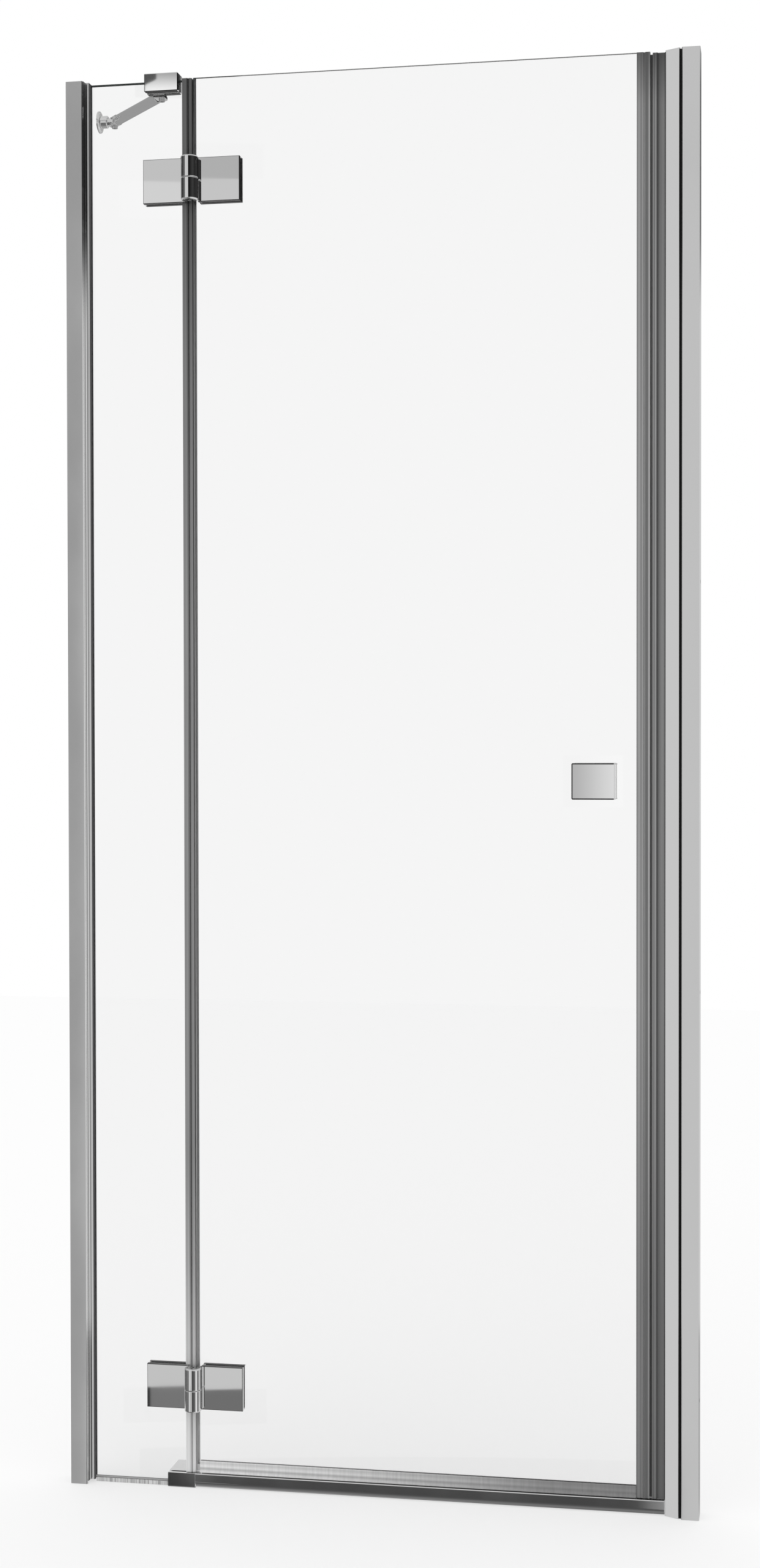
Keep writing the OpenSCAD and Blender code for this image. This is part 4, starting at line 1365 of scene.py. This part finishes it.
@dataclass
class Sealed(Assembly):
    """What assemblies with clear seals share: clips and magnet boxes.

    Glass_half is half a pane's thickness, and seal_t the seals' wall.
    """

    glass_half: float = 3.0
    seal_t: float = 0.8
    magnet_half: float = 3.2
    magnet_w: float = 6.8
    magnet_r: float = 0.6
    stem_y: float = 1.8

    def clip(self, tip: float, edge: float) -> Outline:
        """Draw the clip that grips a pane's edge.

        Args:
            tip: Centre of its legs' rounded ends.
            edge: Where the pane ends.

        Returns:
            The outline.
        """
        half, t = self.glass_half, self.seal_t
        return [
            *arc(tip, half + t / 2, t / 2, 90, 270, 4),
            (edge, half),
            (edge, -half),
            *arc(tip, -half - t / 2, t / 2, 90, 270, 4),
            *arc(edge, -half, t, 270, 360, 4),
            *arc(edge, half, t, 0, 90, 4),
        ]

    def magnet_box(self, seal: Box, side: int, root: float) -> list[Piece]:
        """Make the hollow box round a magnet strip and its two stems.

        Args:
            seal: Box of the seal, whose end next to the other magnet is the magnet box's.
            side: Direction from that end into the magnet box, 1 or -1.
            root: Where the stems end.

        Returns:
            The magnet box and the stems.
        """
        z0, z1 = seal.low.z, seal.high.z
        end = seal.low.x if side > 0 else seal.high.x
        t, half, r = self.seal_t, self.magnet_half, self.magnet_r
        lo, hi = sorted((end, end + side * self.magnet_w))
        outer = half + t
        left = arc(lo + r, -outer + r, r, 180, 270, 4)
        right = arc(hi - r, -outer + r, r, 270, 360, 4)
        shell = section("magnet_box", mirrored([*left, *right]), "Z", z0, z1)
        cut(shell, block("hollow", (lo + t, -half, z0 - 1), (hi - t, half, z1 + 1)))
        a, b = sorted((end + side * (self.magnet_w - t / 2), root))
        stems = [
            block("stem", (a, y - t / 2, z0), (b, y + t / 2, z1))
            for y in (-self.stem_y, self.stem_y)
        ]
        return [shell, *stems]


@dataclass
class Pane(Sealed):
    """What the two panes share: ground edges and holes."""

    arris: float = 0.5
    hole_r: float = 6.25

    def glass(self, name: str, node: str, holes: Sequence[Triple]) -> None:
        """Make a pane with polished edges in painted shade.

        Args:
            name: The piece's name.
            node: The CAD node it stands for.
            holes: Each hole's x, z and radius.
        """
        box = Box.of(node)
        pane = block(name, box.low, box.high)
        ease(pane, self.arris, 1)
        for x, z, radius in holes:
            drill(pane, (x, box.low.y - 5, z), (x, box.high.y + 5, z), radius, 64)
        glass, edge = self.finishes.by_slot["glass"], self.finishes.glass_edge_painted_shade
        # The edge faces take the painted shade of the glass edge.
        two_tone(pane, glass, edge, lambda face: abs(face.normal.y) <= 0.99)
        self.finish(pane, node, 30.0)

    def leaf_holes(self, side: Side) -> list[Triple]:
        """Find the holes that a pane's leaf screws pass through.

        Args:
            side: The pane.

        Returns:
            Each hole's x, z and radius.
        """
        plates = [Box.of(f"{side.value}_back_plate_{place}").centre for place in ("top", "bottom")]
        return [(plate.x, plate.z + up, self.hole_r) for plate in plates for up in SCREWS_UP]


@dataclass
class FixedPane(Pane):
    """The narrow pane, its profile, gaskets and clear seals."""

    arris: float = 2.6
    bite: float = 15.0
    nose_half: float = 7.0
    nose_out: float = 5.5
    nose_r: float = 0.4
    nose_wall: float = 1.6
    shoulder_r: float = 0.8
    neck_r: float = 1.0
    cap_edge: float = 0.2
    clip_leg: float = 7.0
    bulb_r: float = 3.1
    bulb_in: float = 0.2
    bulb_wall: float = 0.7
    lip_r: float = 0.4

    def profile_outline(self, reach: float, half: float, start: float) -> Outline:
        """Draw the outside of the glazing profile as far as its nose.

        Args:
            reach: Where the nose ends.
            half: Half the profile's depth.
            start: Where the profile starts inside the wall profile.

        Returns:
            The outline of one half.
        """
        shoulder, r = reach - self.nose_out, self.shoulder_r
        neck, nose, tip = self.neck_r, -self.nose_half, self.nose_r
        return [
            (start, -half),
            *arc(shoulder - r, -half + r, r, 270, 360, 5),
            (shoulder, nose - neck),
            *arc(shoulder + neck, nose - neck, neck, 180, 90, 4)[1:],
            *arc(reach - tip, nose + tip, tip, 270, 360, 3),
        ]

    def profile(self) -> None:
        """Make the glazing profile and its cap."""
        box = Box.of("glazing_profile")
        outer = self.profile_outline(box.high.x, box.high.y, box.low.x)
        slot_half = self.nose_half - self.nose_wall
        slot = [(box.high.x, -slot_half), (box.high.x - self.bite, -slot_half)]
        body = section("glazing_bar", mirrored([*outer, *slot]), "Z", box.low.z, box.high.z)
        self.finish(body, "glazing_profile")
        top = Box.of("glazing_cap").high.z
        lid = section("glazing_lid", mirrored(outer), "Z", box.high.z, top)
        ease(lid, self.cap_edge)
        self.finish(lid, "glazing_cap")

    def gaskets(self) -> None:
        """Make the two rubber gaskets that hold the glass."""
        box = Box.of("glazing_gasket_outer")
        start, tip = box.low.x, box.high.x
        outline = [
            (start, -3.0),
            (tip, -3.0),
            *arc(tip - 1.0, -5.2, 1.0, 0, -90, 6),
            (tip - 1.5, -6.9),
            (tip - 1.5, -5.2),
            (tip - 4.6, -5.4),
            (start, -4.9),
        ]
        outer = section("gasket_outer", outline, "Z", box.low.z, box.high.z)
        polish(outer)
        inner = flipped(outer, "gasket_inner", "Y")
        self.deliver(outer, "glazing_gasket_outer")
        self.deliver(inner, "glazing_gasket_inner")

    def post_seal(self) -> None:
        """Make the clear seal on the pane's free edge: clip, bulb and lip."""
        box = Box.of("post_seal")
        edge = Box.of("fixed_glass").high.x
        z0, z1 = box.low.z, box.high.z
        t, half, r = self.seal_t, self.glass_half, self.bulb_r
        seal = section("post_seal_clear", self.clip(edge - self.clip_leg, edge), "Z", z0, z1)
        x = edge + t + r - self.bulb_in
        bulb = rod("bulb", (x, 0, z0), (x, 0, z1), r, 40)
        drill(bulb, (x, 0, z0 - 1), (x, 0, z1 + 1), r - self.bulb_wall, 40)
        cut(bulb, block("side", (edge - 5, -10, z0 - 1), (edge + t / 2, 10, z1 + 1)))
        tip = box.high.x - self.lip_r
        lip = [
            (edge + 0.1, half + 0.1),
            (edge + t, half + 0.6),
            (tip, half + 0.6),
            *arc(tip, half + 1.0, self.lip_r, 270, 450, 6),
            (edge, half + 1.4),
        ]
        unite(seal, bulb, section("lip", lip, "Z", z0, z1))
        self.finish(seal, "post_seal", material=self.finishes.post_seal)

    def build(self) -> None:
        """Make every piece of the fixed pane."""
        self.profile()
        self.gaskets()
        self.glass("fixed_pane", "fixed_glass", self.leaf_holes(Side.FIXED))
        self.post_seal()


# -------------------------------------------------------------------- Hinges


@dataclass
class Hinges(Assembly):
    """Two rising hinges, each of two leaves with half a barrel and two back plates.

    Along a barrel, seam is its half gap, and cam_deep and cap_deep are how far
    the bores for the cam and the cap reach.
    """

    barrel_r: float = 12.0
    seam: float = 0.2
    seam_r: float = 0.9
    end_r: float = 2.0
    edge: float = 0.8
    cam_r: float = 8.35
    cam_deep: float = 20.0
    pin_r: float = 4.05
    cap_r: float = 8.5
    cap_deep: float = 5.0
    bore_wall: float = 1.5
    head_r: float = 5.3
    head_deep: float = 4.0
    shank_r: float = 3.3

    def knuckle(self, pin: Vector, end: float) -> Piece:
        """Turn the upper half of a barrel, bored for its cam, its pin and its cap.

        Args:
            pin: Middle of the hinge on its axis.
            end: Height of the barrel's end above that.

        Returns:
            The knuckle.
        """
        r, seam, inner = self.barrel_r, self.seam_r, end - self.cap_deep
        profile = [
            (self.cam_r, self.seam),
            *arc(r - seam, self.seam + seam, seam, 270, 360, 5),
            *arc(r - self.end_r, end - self.end_r, self.end_r, 0, 90, 8),
            (self.cap_r, end),
            (self.cap_r, inner),
            (self.pin_r, inner),
            (self.pin_r, self.cam_deep),
            (self.cam_r, self.cam_deep),
        ]
        return turned("knuckle", profile, pin, UP, (0, 1, 0))

    def door_leaf(self, name: str, place: str) -> Piece:
        """Make a door leaf: a bevelled plate, the upper half of the barrel and a link.

        Args:
            name: The leaf's name.
            place: top or bottom.

        Returns:
            The leaf.
        """
        plate = Box.of(f"door_back_plate_{place}")
        x, y, _ = Box.of(f"hinge_pin_{place}").centre
        z = plate.centre.z
        end = plate.high.z - z
        front, back = -plate.high.y, -plate.low.y
        leaf = block(name, (plate.low.x, front, plate.low.z), (plate.high.x, back, plate.high.z))
        bevel_where(leaf, lambda edge: in_plane(edge, "Y", front), self.edge, 3)
        r, side = self.barrel_r, plate.low.x
        knuckle = self.knuckle(Vector((x, y, z)), end)
        outline = [
            (x + r * 0.2, y - r * 0.86),
            (x + r * 0.75, y - r * 0.62),
            (side + 1.0, front + 1.0),
            (side + 3.0, front + 1.0),
            (side + 3.0, back),
            (side, back),
            (x + r * 0.5, y + r * 0.84),
            (x + r * 0.2, y + r * 0.88),
        ]
        link = section("link", outline, "Z", z + self.seam, z + end - 1.0)
        drill(link, (x, y, z - 1), (x, y, z + end), r - self.bore_wall, AROUND)
        unite(link, knuckle)
        unite(leaf, link)
        # The leaf's front bevels get the painted dark reflection.
        outer = (plate.high.x + 1, front + self.edge, plate.high.z + 1)
        self.paint_dark_edges(leaf, (side + 3, front - 1, plate.low.z - 1), outer)
        polish(leaf, 35.0)
        return leaf

    def back_plate(self, name: str, node: str) -> Piece:
        """Make the plate behind the glass, with its two screw holes.

        Args:
            name: The plate's name.
            node: The CAD node that it stands for.

        Returns:
            The plate.
        """
        box = Box.of(node)
        plate = block(name, box.low, box.high)
        bevel_where(plate, lambda edge: in_plane(edge, "Y", box.high.y), self.edge, 3)
        x = box.centre.x
        for up in SCREWS_UP:
            z = box.centre.z + up
            drill(plate, (x, 0, z), (x, 20, z), self.shank_r, 64)
            drill(plate, (x, box.high.y - self.head_deep, z), (x, 20, z), self.head_r, 64)
        polish(plate, 35.0)
        return plate

    def build(self) -> None:
        """Make the leaves and plates of both hinges."""
        top = Box.of("door_back_plate_top")
        step = Box.of("door_back_plate_bottom").low - top.low
        door = self.door_leaf("door_hinge_leaf_top", "top")
        middle = Box.of("hinge_pin_top").centre
        middle.z = top.centre.z
        fixed = half_turned(door, "fixed_hinge_leaf_top", middle)
        self.deliver(shifted(door, "door_hinge_leaf_bottom", step), "door_leaf_bottom")
        self.deliver(shifted(fixed, "fixed_hinge_leaf_bottom", step), "fixed_leaf_bottom")
        self.deliver(door, "door_leaf_top")
        self.deliver(fixed, "fixed_leaf_top")
        for side in (Side.DOOR.value, Side.FIXED.value):
            plate = self.back_plate(f"{side}_hinge_plate_top", f"{side}_back_plate_top")
            lower = shifted(plate, f"{side}_hinge_plate_bottom", step)
            self.deliver(lower, f"{side}_back_plate_bottom")
            self.deliver(plate, f"{side}_back_plate_top")


# ----------------------------------------------------------------- Door pane


@dataclass
class DoorPane(Pane):
    """The wide pane with its drip seal and its magnet seal."""

    stud_hole_r: float = 5.0

    def bottom_seal(self) -> None:
        """Make the clear drip seal: a clip with two thin wipers."""
        box = Box.of("door_bottom_seal")
        bottom = Box.of("door_glass").low.z
        t, half = self.seal_t, self.glass_half
        out = half + t
        web, tip = bottom - t, box.low.z
        leg, top = half + t / 2, box.high.z - t / 2
        outline = [
            *arc(leg, top, t / 2, 180, 0, 4),
            (out, web),
            (t + 1.2, web),
            (out + 3.0, tip),
            (out + 2.0, tip),
            (0.0, web),
            (-out + t, web),
            (-out + t, web - 2.6),
            (-out - 0.8, tip),
            (-out - 1.6, tip),
            (-out, web - 3.0),
            *arc(-leg, top, t / 2, 180, 0, 4),
            (-half, bottom),
            (half, bottom),
        ]
        seal = section("drip_seal", outline, "X", box.low.x, box.high.x)
        self.finish(seal, "door_bottom_seal", material=self.finishes.drip_seal)

    def magnet_seal(self) -> None:
        """Make the clear seal with the box for the magnet strip."""
        box = Box.of("door_magnet_seal")
        edge = Box.of("door_glass").high.x
        outline = self.clip(box.low.x + self.seal_t / 2, edge)
        seal = section("magnet_seal_door", outline, "Z", box.low.z, box.high.z)
        unite(seal, *self.magnet_box(box, -1, edge + self.seal_t / 2))
        self.finish(seal, "door_magnet_seal", material=self.finishes.magnet_seal)

    def build(self) -> None:
        """Make every piece of the door pane."""
        stud = Box.of("knob_stud").centre
        holes = [*self.leaf_holes(Side.DOOR), (stud.x, stud.z, self.stud_hole_r)]
        self.glass("door_pane", "door_glass", holes)
        self.bottom_seal()
        self.magnet_seal()


@dataclass
class Knobs(Assembly):
    """A bevelled knob on each face of the door pane."""

    neck_in: float = 5.0
    neck_deep: float = 6.0
    neck_edge: float = 0.4
    edge: float = 1.8

    def build(self) -> None:
        """Make the outer knob and its mirror image inside."""
        box = Box.of("knob_outer")
        face = box.high.y - self.neck_deep
        knob = block("knob_block", box.low, (box.high.x, face, box.high.z))
        ease(knob, self.edge, 3)
        inset = Vector((self.neck_in, 0, self.neck_in))
        low, high = box.low + inset, box.high - inset
        neck = block("neck", (low.x, face - 2, low.z), (high.x, box.high.y, high.z))
        ease(neck, self.neck_edge)
        unite(knob, neck)
        # The knob's bevels get the painted dark reflection.
        outer = (box.high.x - 3, box.low.y + self.edge, box.high.z + 1)
        self.paint_dark_edges(knob, box.low - Vector((1, 1, 1)), outer)
        polish(knob, 40.0)
        inner = flipped(knob, "knob_block_inner", "Y")
        self.deliver(knob, "knob_outer")
        self.deliver(inner, "knob_inner")


# -------------------------------------------------------------------- Strike


@dataclass
class Strike(Sealed):
    """The slanted strike in the right wall profile, its cap and its seal."""

    groove: float = 2.7
    groove_deep: float = 2.5
    groove_end: float = 1.0
    nose: float = 6.0
    edge: float = 0.2
    slot_half: float = 1.6
    slot_deep: float = 5.0
    seal_half: float = 5.0
    bridge_half: float = 1.5
    fin_in: float = 4.4
    fin_y: tuple[float, float] = (4.4, 5.1)

    def outline(self, box: Box, slot: bool) -> Outline:
        """Draw the strike from its nose to the end inside the wall profile.

        Args:
            box: The strike's box.
            slot: Whether the nose has the seal's slot.

        Returns:
            The outline.
        """
        tip, half, back = box.low.x, box.high.y, box.high.x
        wall = Box.of("wall_profile_right").low.x
        slit = [(tip + self.slot_deep, -self.slot_half), (tip, -self.slot_half)] if slot else []
        return mirrored([
            *slit,
            *arc(tip + 0.6, -self.nose + 0.2, 0.6, 180, 250, 4),
            *arc(wall - self.groove - 1.2, -half + 0.5, 0.5, 250, 360, 5),
            (wall - self.groove, -half + self.groove_deep),
            (wall + self.groove_end, -half + self.groove_deep),
            (wall + self.groove_end, -half),
            (back, -half),
        ])

    def bar(self, box: Box) -> None:
        """Make the strike's bar with its groove painted black as shade, and its cap.

        Args:
            box: The bar's box.
        """
        bar = section("strike_bar", self.outline(box, True), "Z", box.low.z, box.high.z)
        wall, front = Box.of("wall_profile_right").low.x, -box.high.y

        def in_groove(face: bpy.types.MeshPolygon) -> bool:
            """Tell whether a face lies in the front groove and runs along it."""
            x, y, _ = face.center / MM
            across = wall - self.groove - 0.1 < x < wall + self.groove_end + 0.1
            return across and front + 0.2 < y < 0.0 and abs(face.normal.z) < 0.5

        # The groove's faces take the black painted shade of the recess.
        chrome = self.finishes.by_slot["chrome_profile"]
        two_tone(bar, chrome, self.finishes.shadow_line, in_groove)
        self.finish(bar, "strike_profile", 35.0)
        top = Box.of("strike_cap").high.z
        lid = section("strike_lid", self.outline(box, False), "Z", box.high.z, top)
        ease(lid, self.edge)
        self.finish(lid, "strike_cap", 35.0)

    def seal(self, nose: float) -> None:
        """Make the clear seal, and a fin in black painted shade that closes the gap behind the
        magnets.

        Args:
            nose: Where the strike's nose ends.
        """
        box = Box.of("strike_seal")
        z0, z1, end = box.low.z, box.high.z, box.low.x
        wide = self.seal_half
        seal = block("magnet_seal_strike", (nose - 1.0, -wide, z0), (nose - 0.2, wide, z1))
        ease(seal, self.edge)
        parts = self.magnet_box(box, 1, nose + self.slot_deep - 0.1)
        x, y = (nose + end + self.magnet_w) / 2, self.bridge_half
        unite(seal, *parts, block("bridge", (x, -y, z0), (x + self.seal_t, y, z1)))
        near, far = self.fin_y
        outline = [
            (end - self.fin_in, near),
            (end + 0.9, near),
            (end + 1.5, 3.6),
            (end + 2.4, 3.6),
            (end + 1.6, far),
            (end - self.fin_in, far),
        ]
        # The fin is a sheet of painted shade that darkens the gap between the magnet seals.
        fin = section("fin", outline, "Z", z0, z1)
        seal.data.materials.append(self.finishes.strike_seal)
        fin.data.materials.append(self.finishes.shadow_line)
        unite(seal, fin)
        self.finish(seal, "strike_seal")

    def build(self) -> None:
        """Make the strike's pieces."""
        box = Box.of("strike_profile")
        self.bar(box)
        self.seal(box.low.x)


# ----------------------------------------------------------------- Threshold


@dataclass
class Threshold(Assembly):
    """The low rail on the tray and its two end pieces."""

    lower_r: float = 9.0
    upper_r: float = 1.2
    back_r: float = 12.0
    back_h: float = 4.0
    right_edge: float = 0.2
    left_edge: float = 0.3
    left_foot: float = 2.2
    slot_half: float = 3.4
    slot_z: float = 2.0

    def outline(self, box: Box) -> Outline:
        """Draw the rail: a rounded front, a flat top and a slope to the back.

        Args:
            box: The rail's box.

        Returns:
            The outline.
        """
        front, back, high = box.low.y, box.high.y, box.high.z
        lower, upper = self.lower_r, self.upper_r
        return [
            *arc(front + lower, lower, lower, 180, 270, 12),
            (back, 0.0),
            (back, self.back_h),
            *arc(-front + 2.0, high - self.back_r, self.back_r, 62, 90, 5),
            *arc(front + upper, high - upper, upper, 90, 180, 6),
        ]

    def build(self) -> None:
        """Make the rail and its ends."""
        box = Box.of("threshold_rail")
        left_box = Box.of("threshold_end_left")
        points = self.outline(box)
        start, end = box.low.x, box.high.x
        self.finish(section("rail", points, "X", start, end), "threshold_rail")
        right_end = Box.of("threshold_end_right").high.x
        right = section("rail_end_right", points, "X", end, right_end)
        ease(right, self.right_edge)
        self.finish(right, "threshold_end_right")
        low, high = left_box.low, left_box.high
        left = block("rail_end_left", low, (start, high.y, high.z))
        bevel_where(
            left,
            lambda edge: in_plane(edge, "Y", low.y) and in_plane(edge, "Z", low.z),
            self.left_foot,
            5,
        )
        ease(left, self.left_edge)
        edge, half = Box.of("fixed_glass").high.x, self.slot_half
        cut(left, block("slot", (low.x - 1, -half, self.slot_z), (edge + 2, half, 50)))
        self.finish(left, "threshold_end_left")


# --------------------------------------------------------------------- Brace


@dataclass
class Jointed(Assembly):
    """What the clamp and the brace share at their pivots."""

    eye_t: float = 5.0
    play: float = 0.3
    screw_r: float = 2.55


@dataclass
class Clamp(Jointed):
    """The clamp on the fixed pane that carries the brace."""

    front: float = 12.0
    back: float = 16.0
    corner: float = 4.0
    edge: float = 1.0
    ear_r: float = 8.0
    ear_t: float = 3.2
    ear_edge: float = 0.3
    screw_in: float = 7.0
    screw_up: float = 12.0

    def at_corner(self, edge: Edge) -> bool:
        """Tell whether an edge stands at one of the clamp's back corners."""
        a, b = edge.verts
        return in_plane(edge, "Y", self.back) and abs(a.co.z - b.co.z) > MM

    def add_ears(self, body: Piece, pivot: Vector) -> None:
        """Join the two ears that the brace turns between.

        Args:
            body: The clamp's body.
            pivot: Middle of the pivot between them.
        """
        x, y, z = pivot
        r, back = self.ear_r, self.back
        below = z - self.eye_t / 2 - self.play - self.ear_t
        for low in (below, z + self.eye_t / 2 + self.play):
            high = low + self.ear_t
            ear = rod("ear", (x, y, low), (x, y, high), r, 64)
            unite(ear, block("tab", (x - r, back - 5, low), (x + r, y, high)))
            ease(ear, self.ear_edge)
            unite(body, ear)
        unite(body, block("root", (x - r, back - 8, below), (x + r, back - 0.5, below + 6)))

    def build(self) -> None:
        """Make the clamp's body with its slot and its ears."""
        low, high = Box.of("brace_clamp").low, Box.of("brace_clamp").high
        pads = Box.of("clamp_pads").low
        plate = Box.of("clamp_pressure_plate").high.y
        pivot = Box.of("brace_pivot_screw").centre
        pivot.z = Box.of("brace_bar").centre.z
        bottom, front = pads.z - 1.0, -self.front
        body = block("clamp_block", (low.x, front, bottom), (high.x, self.back, high.z))
        bevel_where(body, self.at_corner, self.corner, 6)
        ease(body, self.edge, 3)
        self.add_ears(body, pivot)
        glass = Box.of("fixed_glass").high.z
        slot_end = (high.x + 1, plate + 0.1, glass + 1)
        cut(body, block("slot", (low.x - 1, pads.y, bottom - 5), slot_end))
        drill(body, pivot - UP * 15, pivot + UP * 15, self.screw_r)
        z = bottom + self.screw_up
        for x in (low.x + self.screw_in, high.x - self.screw_in):
            drill(body, (x, 5, z), (x, self.back + 1, z), self.screw_r)
        # The clamp's front bevels get the painted dark reflection.
        outer = (high.x + 1, self.edge + front, high.z - self.edge)
        self.paint_dark_edges(body, (low.x - 1, front - 1, bottom - 1), outer)
        self.finish(body, "brace_clamp", 40.0)


@dataclass
class Brace(Jointed):
    """The round brace with its ends, and the flange on the side wall."""

    bar_r: float = 7.5
    eye_r: float = 7.0
    fork_r: float = 8.0
    fork_gap: float = 2.0
    tongue_edge: float = 0.4
    neck_r: float = 9.0
    neck_edge: float = 1.5
    disc_r: float = 16.0
    disc_t: float = 3.0
    collar: float = 3.0
    collar_edge: float = 0.5

    def tongue(
        self, name: str, pivot: Vector, way: Vector, reach: float, radius: float, half: float
    ) -> Piece:
        """Make a flat tongue with a rounded, drilled end.

        Args:
            name: The piece's name.
            pivot: Centre of the rounded end.
            way: Direction of the tongue.
            reach: Distance from the pivot to the tongue's root.
            radius: Half width.
            half: Half thickness.

        Returns:
            The tongue.
        """
        angle = math.degrees(math.atan2(way.y, way.x))
        outline = arc(pivot.x, pivot.y, radius, angle + 90, angle + 270, 18)
        side = Vector((-way.y, way.x, 0)) * radius
        root = pivot + way * reach
        outline += [tuple((root - side).xy), tuple((root + side).xy)]
        piece = section(name, outline, "Z", pivot.z - half, pivot.z + half)
        ease(piece, self.tongue_edge)
        drill(piece, pivot - UP * 20, pivot + UP * 20, self.screw_r)
        return piece

    def add_collar(self, piece: Piece, start: Vector, end: Vector) -> None:
        """Join the collar that closes an end of the bar.

        Args:
            piece: The bar's eye or fork.
            start: Where the collar starts.
            end: Where it meets the bar.
        """
        collar = rod("collar", start, end, self.bar_r)
        ease(collar, self.collar_edge, 3)
        unite(piece, collar)

    def build(self) -> None:
        """Make the bar, its two ends and the flange's round pieces."""
        near = Box.of("brace_pivot_screw").centre
        far = Box.of("flange_pivot_screw").centre
        near.z = far.z = Box.of("brace_bar").centre.z
        way = (far - near).normalized()
        length = (far - near).length
        start = self.fork_r + self.fork_gap
        bar_start = start + self.collar
        bar = rod("bar_tube", near + way * bar_start, near + way * (length - bar_start), self.bar_r)
        self.finish(bar, "brace_bar")
        eye = self.tongue("bar_eye", near, way, start + 1.0, self.eye_r, self.eye_t / 2)
        self.add_collar(eye, near + way * start, near + way * bar_start)
        self.finish(eye, "brace_eye_end", 40.0)
        back = -way
        fork = self.tongue("bar_fork", far, back, start + 1.0, self.fork_r, self.bar_r)
        trim = rod("trim", far - back * 12.0, far + back * 14.0, self.bar_r + 0.7)
        combine("INTERSECT", fork, trim)
        gap = self.eye_t / 2 + self.play
        slot = self.tongue("slot", far, back, self.fork_r + 0.4, self.fork_r + 1.0, gap)
        self.add_collar(fork, far + back * start, far + back * bar_start)
        cut(fork, slot)
        drill(fork, far - UP * 20, far + UP * 20, self.screw_r)
        self.finish(fork, "brace_fork_end", 40.0)
        self.flange(far)

    def flange(self, pivot: Vector) -> None:
        """Make the neck with its tongue and the disc that covers the wall fixing.

        Args:
            pivot: Middle of the pivot in the fork.
        """
        wall = Box.of("flange_rosette").low.x
        out = Vector((1, 0, 0))
        centre = Vector((wall, pivot.y, pivot.z))
        tip = pivot.x - self.fork_r - self.fork_gap - wall
        neck_r, t, r, soft = self.neck_r, self.disc_t, self.disc_r, self.neck_edge
        inner = neck_r - 2.0
        profile = [
            (inner, t + 0.2),
            *arc(neck_r - 0.4, t + 0.6, 0.4, 270, 360, 3),
            *arc(neck_r - soft, tip - soft, soft, 0, 90, 6),
            (0.0, tip),
            (0.0, tip - 4.0),
            (inner, tip - 4.0),
        ]
        neck = turned("flange_neck_turned", profile, centre, out, UP)
        reach = self.fork_r + 2.5
        unite(neck, self.tongue("tongue", pivot, -out, reach, self.eye_r, self.eye_t / 2))
        self.finish(neck, "flange_neck", 40.0)
        profile = [
            (inner + 0.1, 0.0),
            (r, 0.0),
            *arc(r - 0.5, t - 1.4, 0.5, 0, 90, 4),
            (r - 2.0, t - 0.9),
            *arc(r - 2.8, t - 0.6, 0.6, 0, 90, 4),
            (inner + 0.1, t),
        ]
        self.finish(turned("flange_disc", profile, centre, out, UP), "flange_rosette", 40.0)


ASSEMBLIES = (
    CadNodes, WallProfiles, FixedPane, Hinges, DoorPane, Knobs, Strike, Threshold, Clamp, Brace,
)


def main() -> None:
    """Build the studio and every piece."""
    logging.basicConfig(level=logging.INFO, format="%(message)s")
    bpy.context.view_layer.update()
    finishes = Finishes()
    Studio().build()
    for assembly in ASSEMBLIES:
        assembly(finishes).build()


if __name__ == "__main__":
    main()
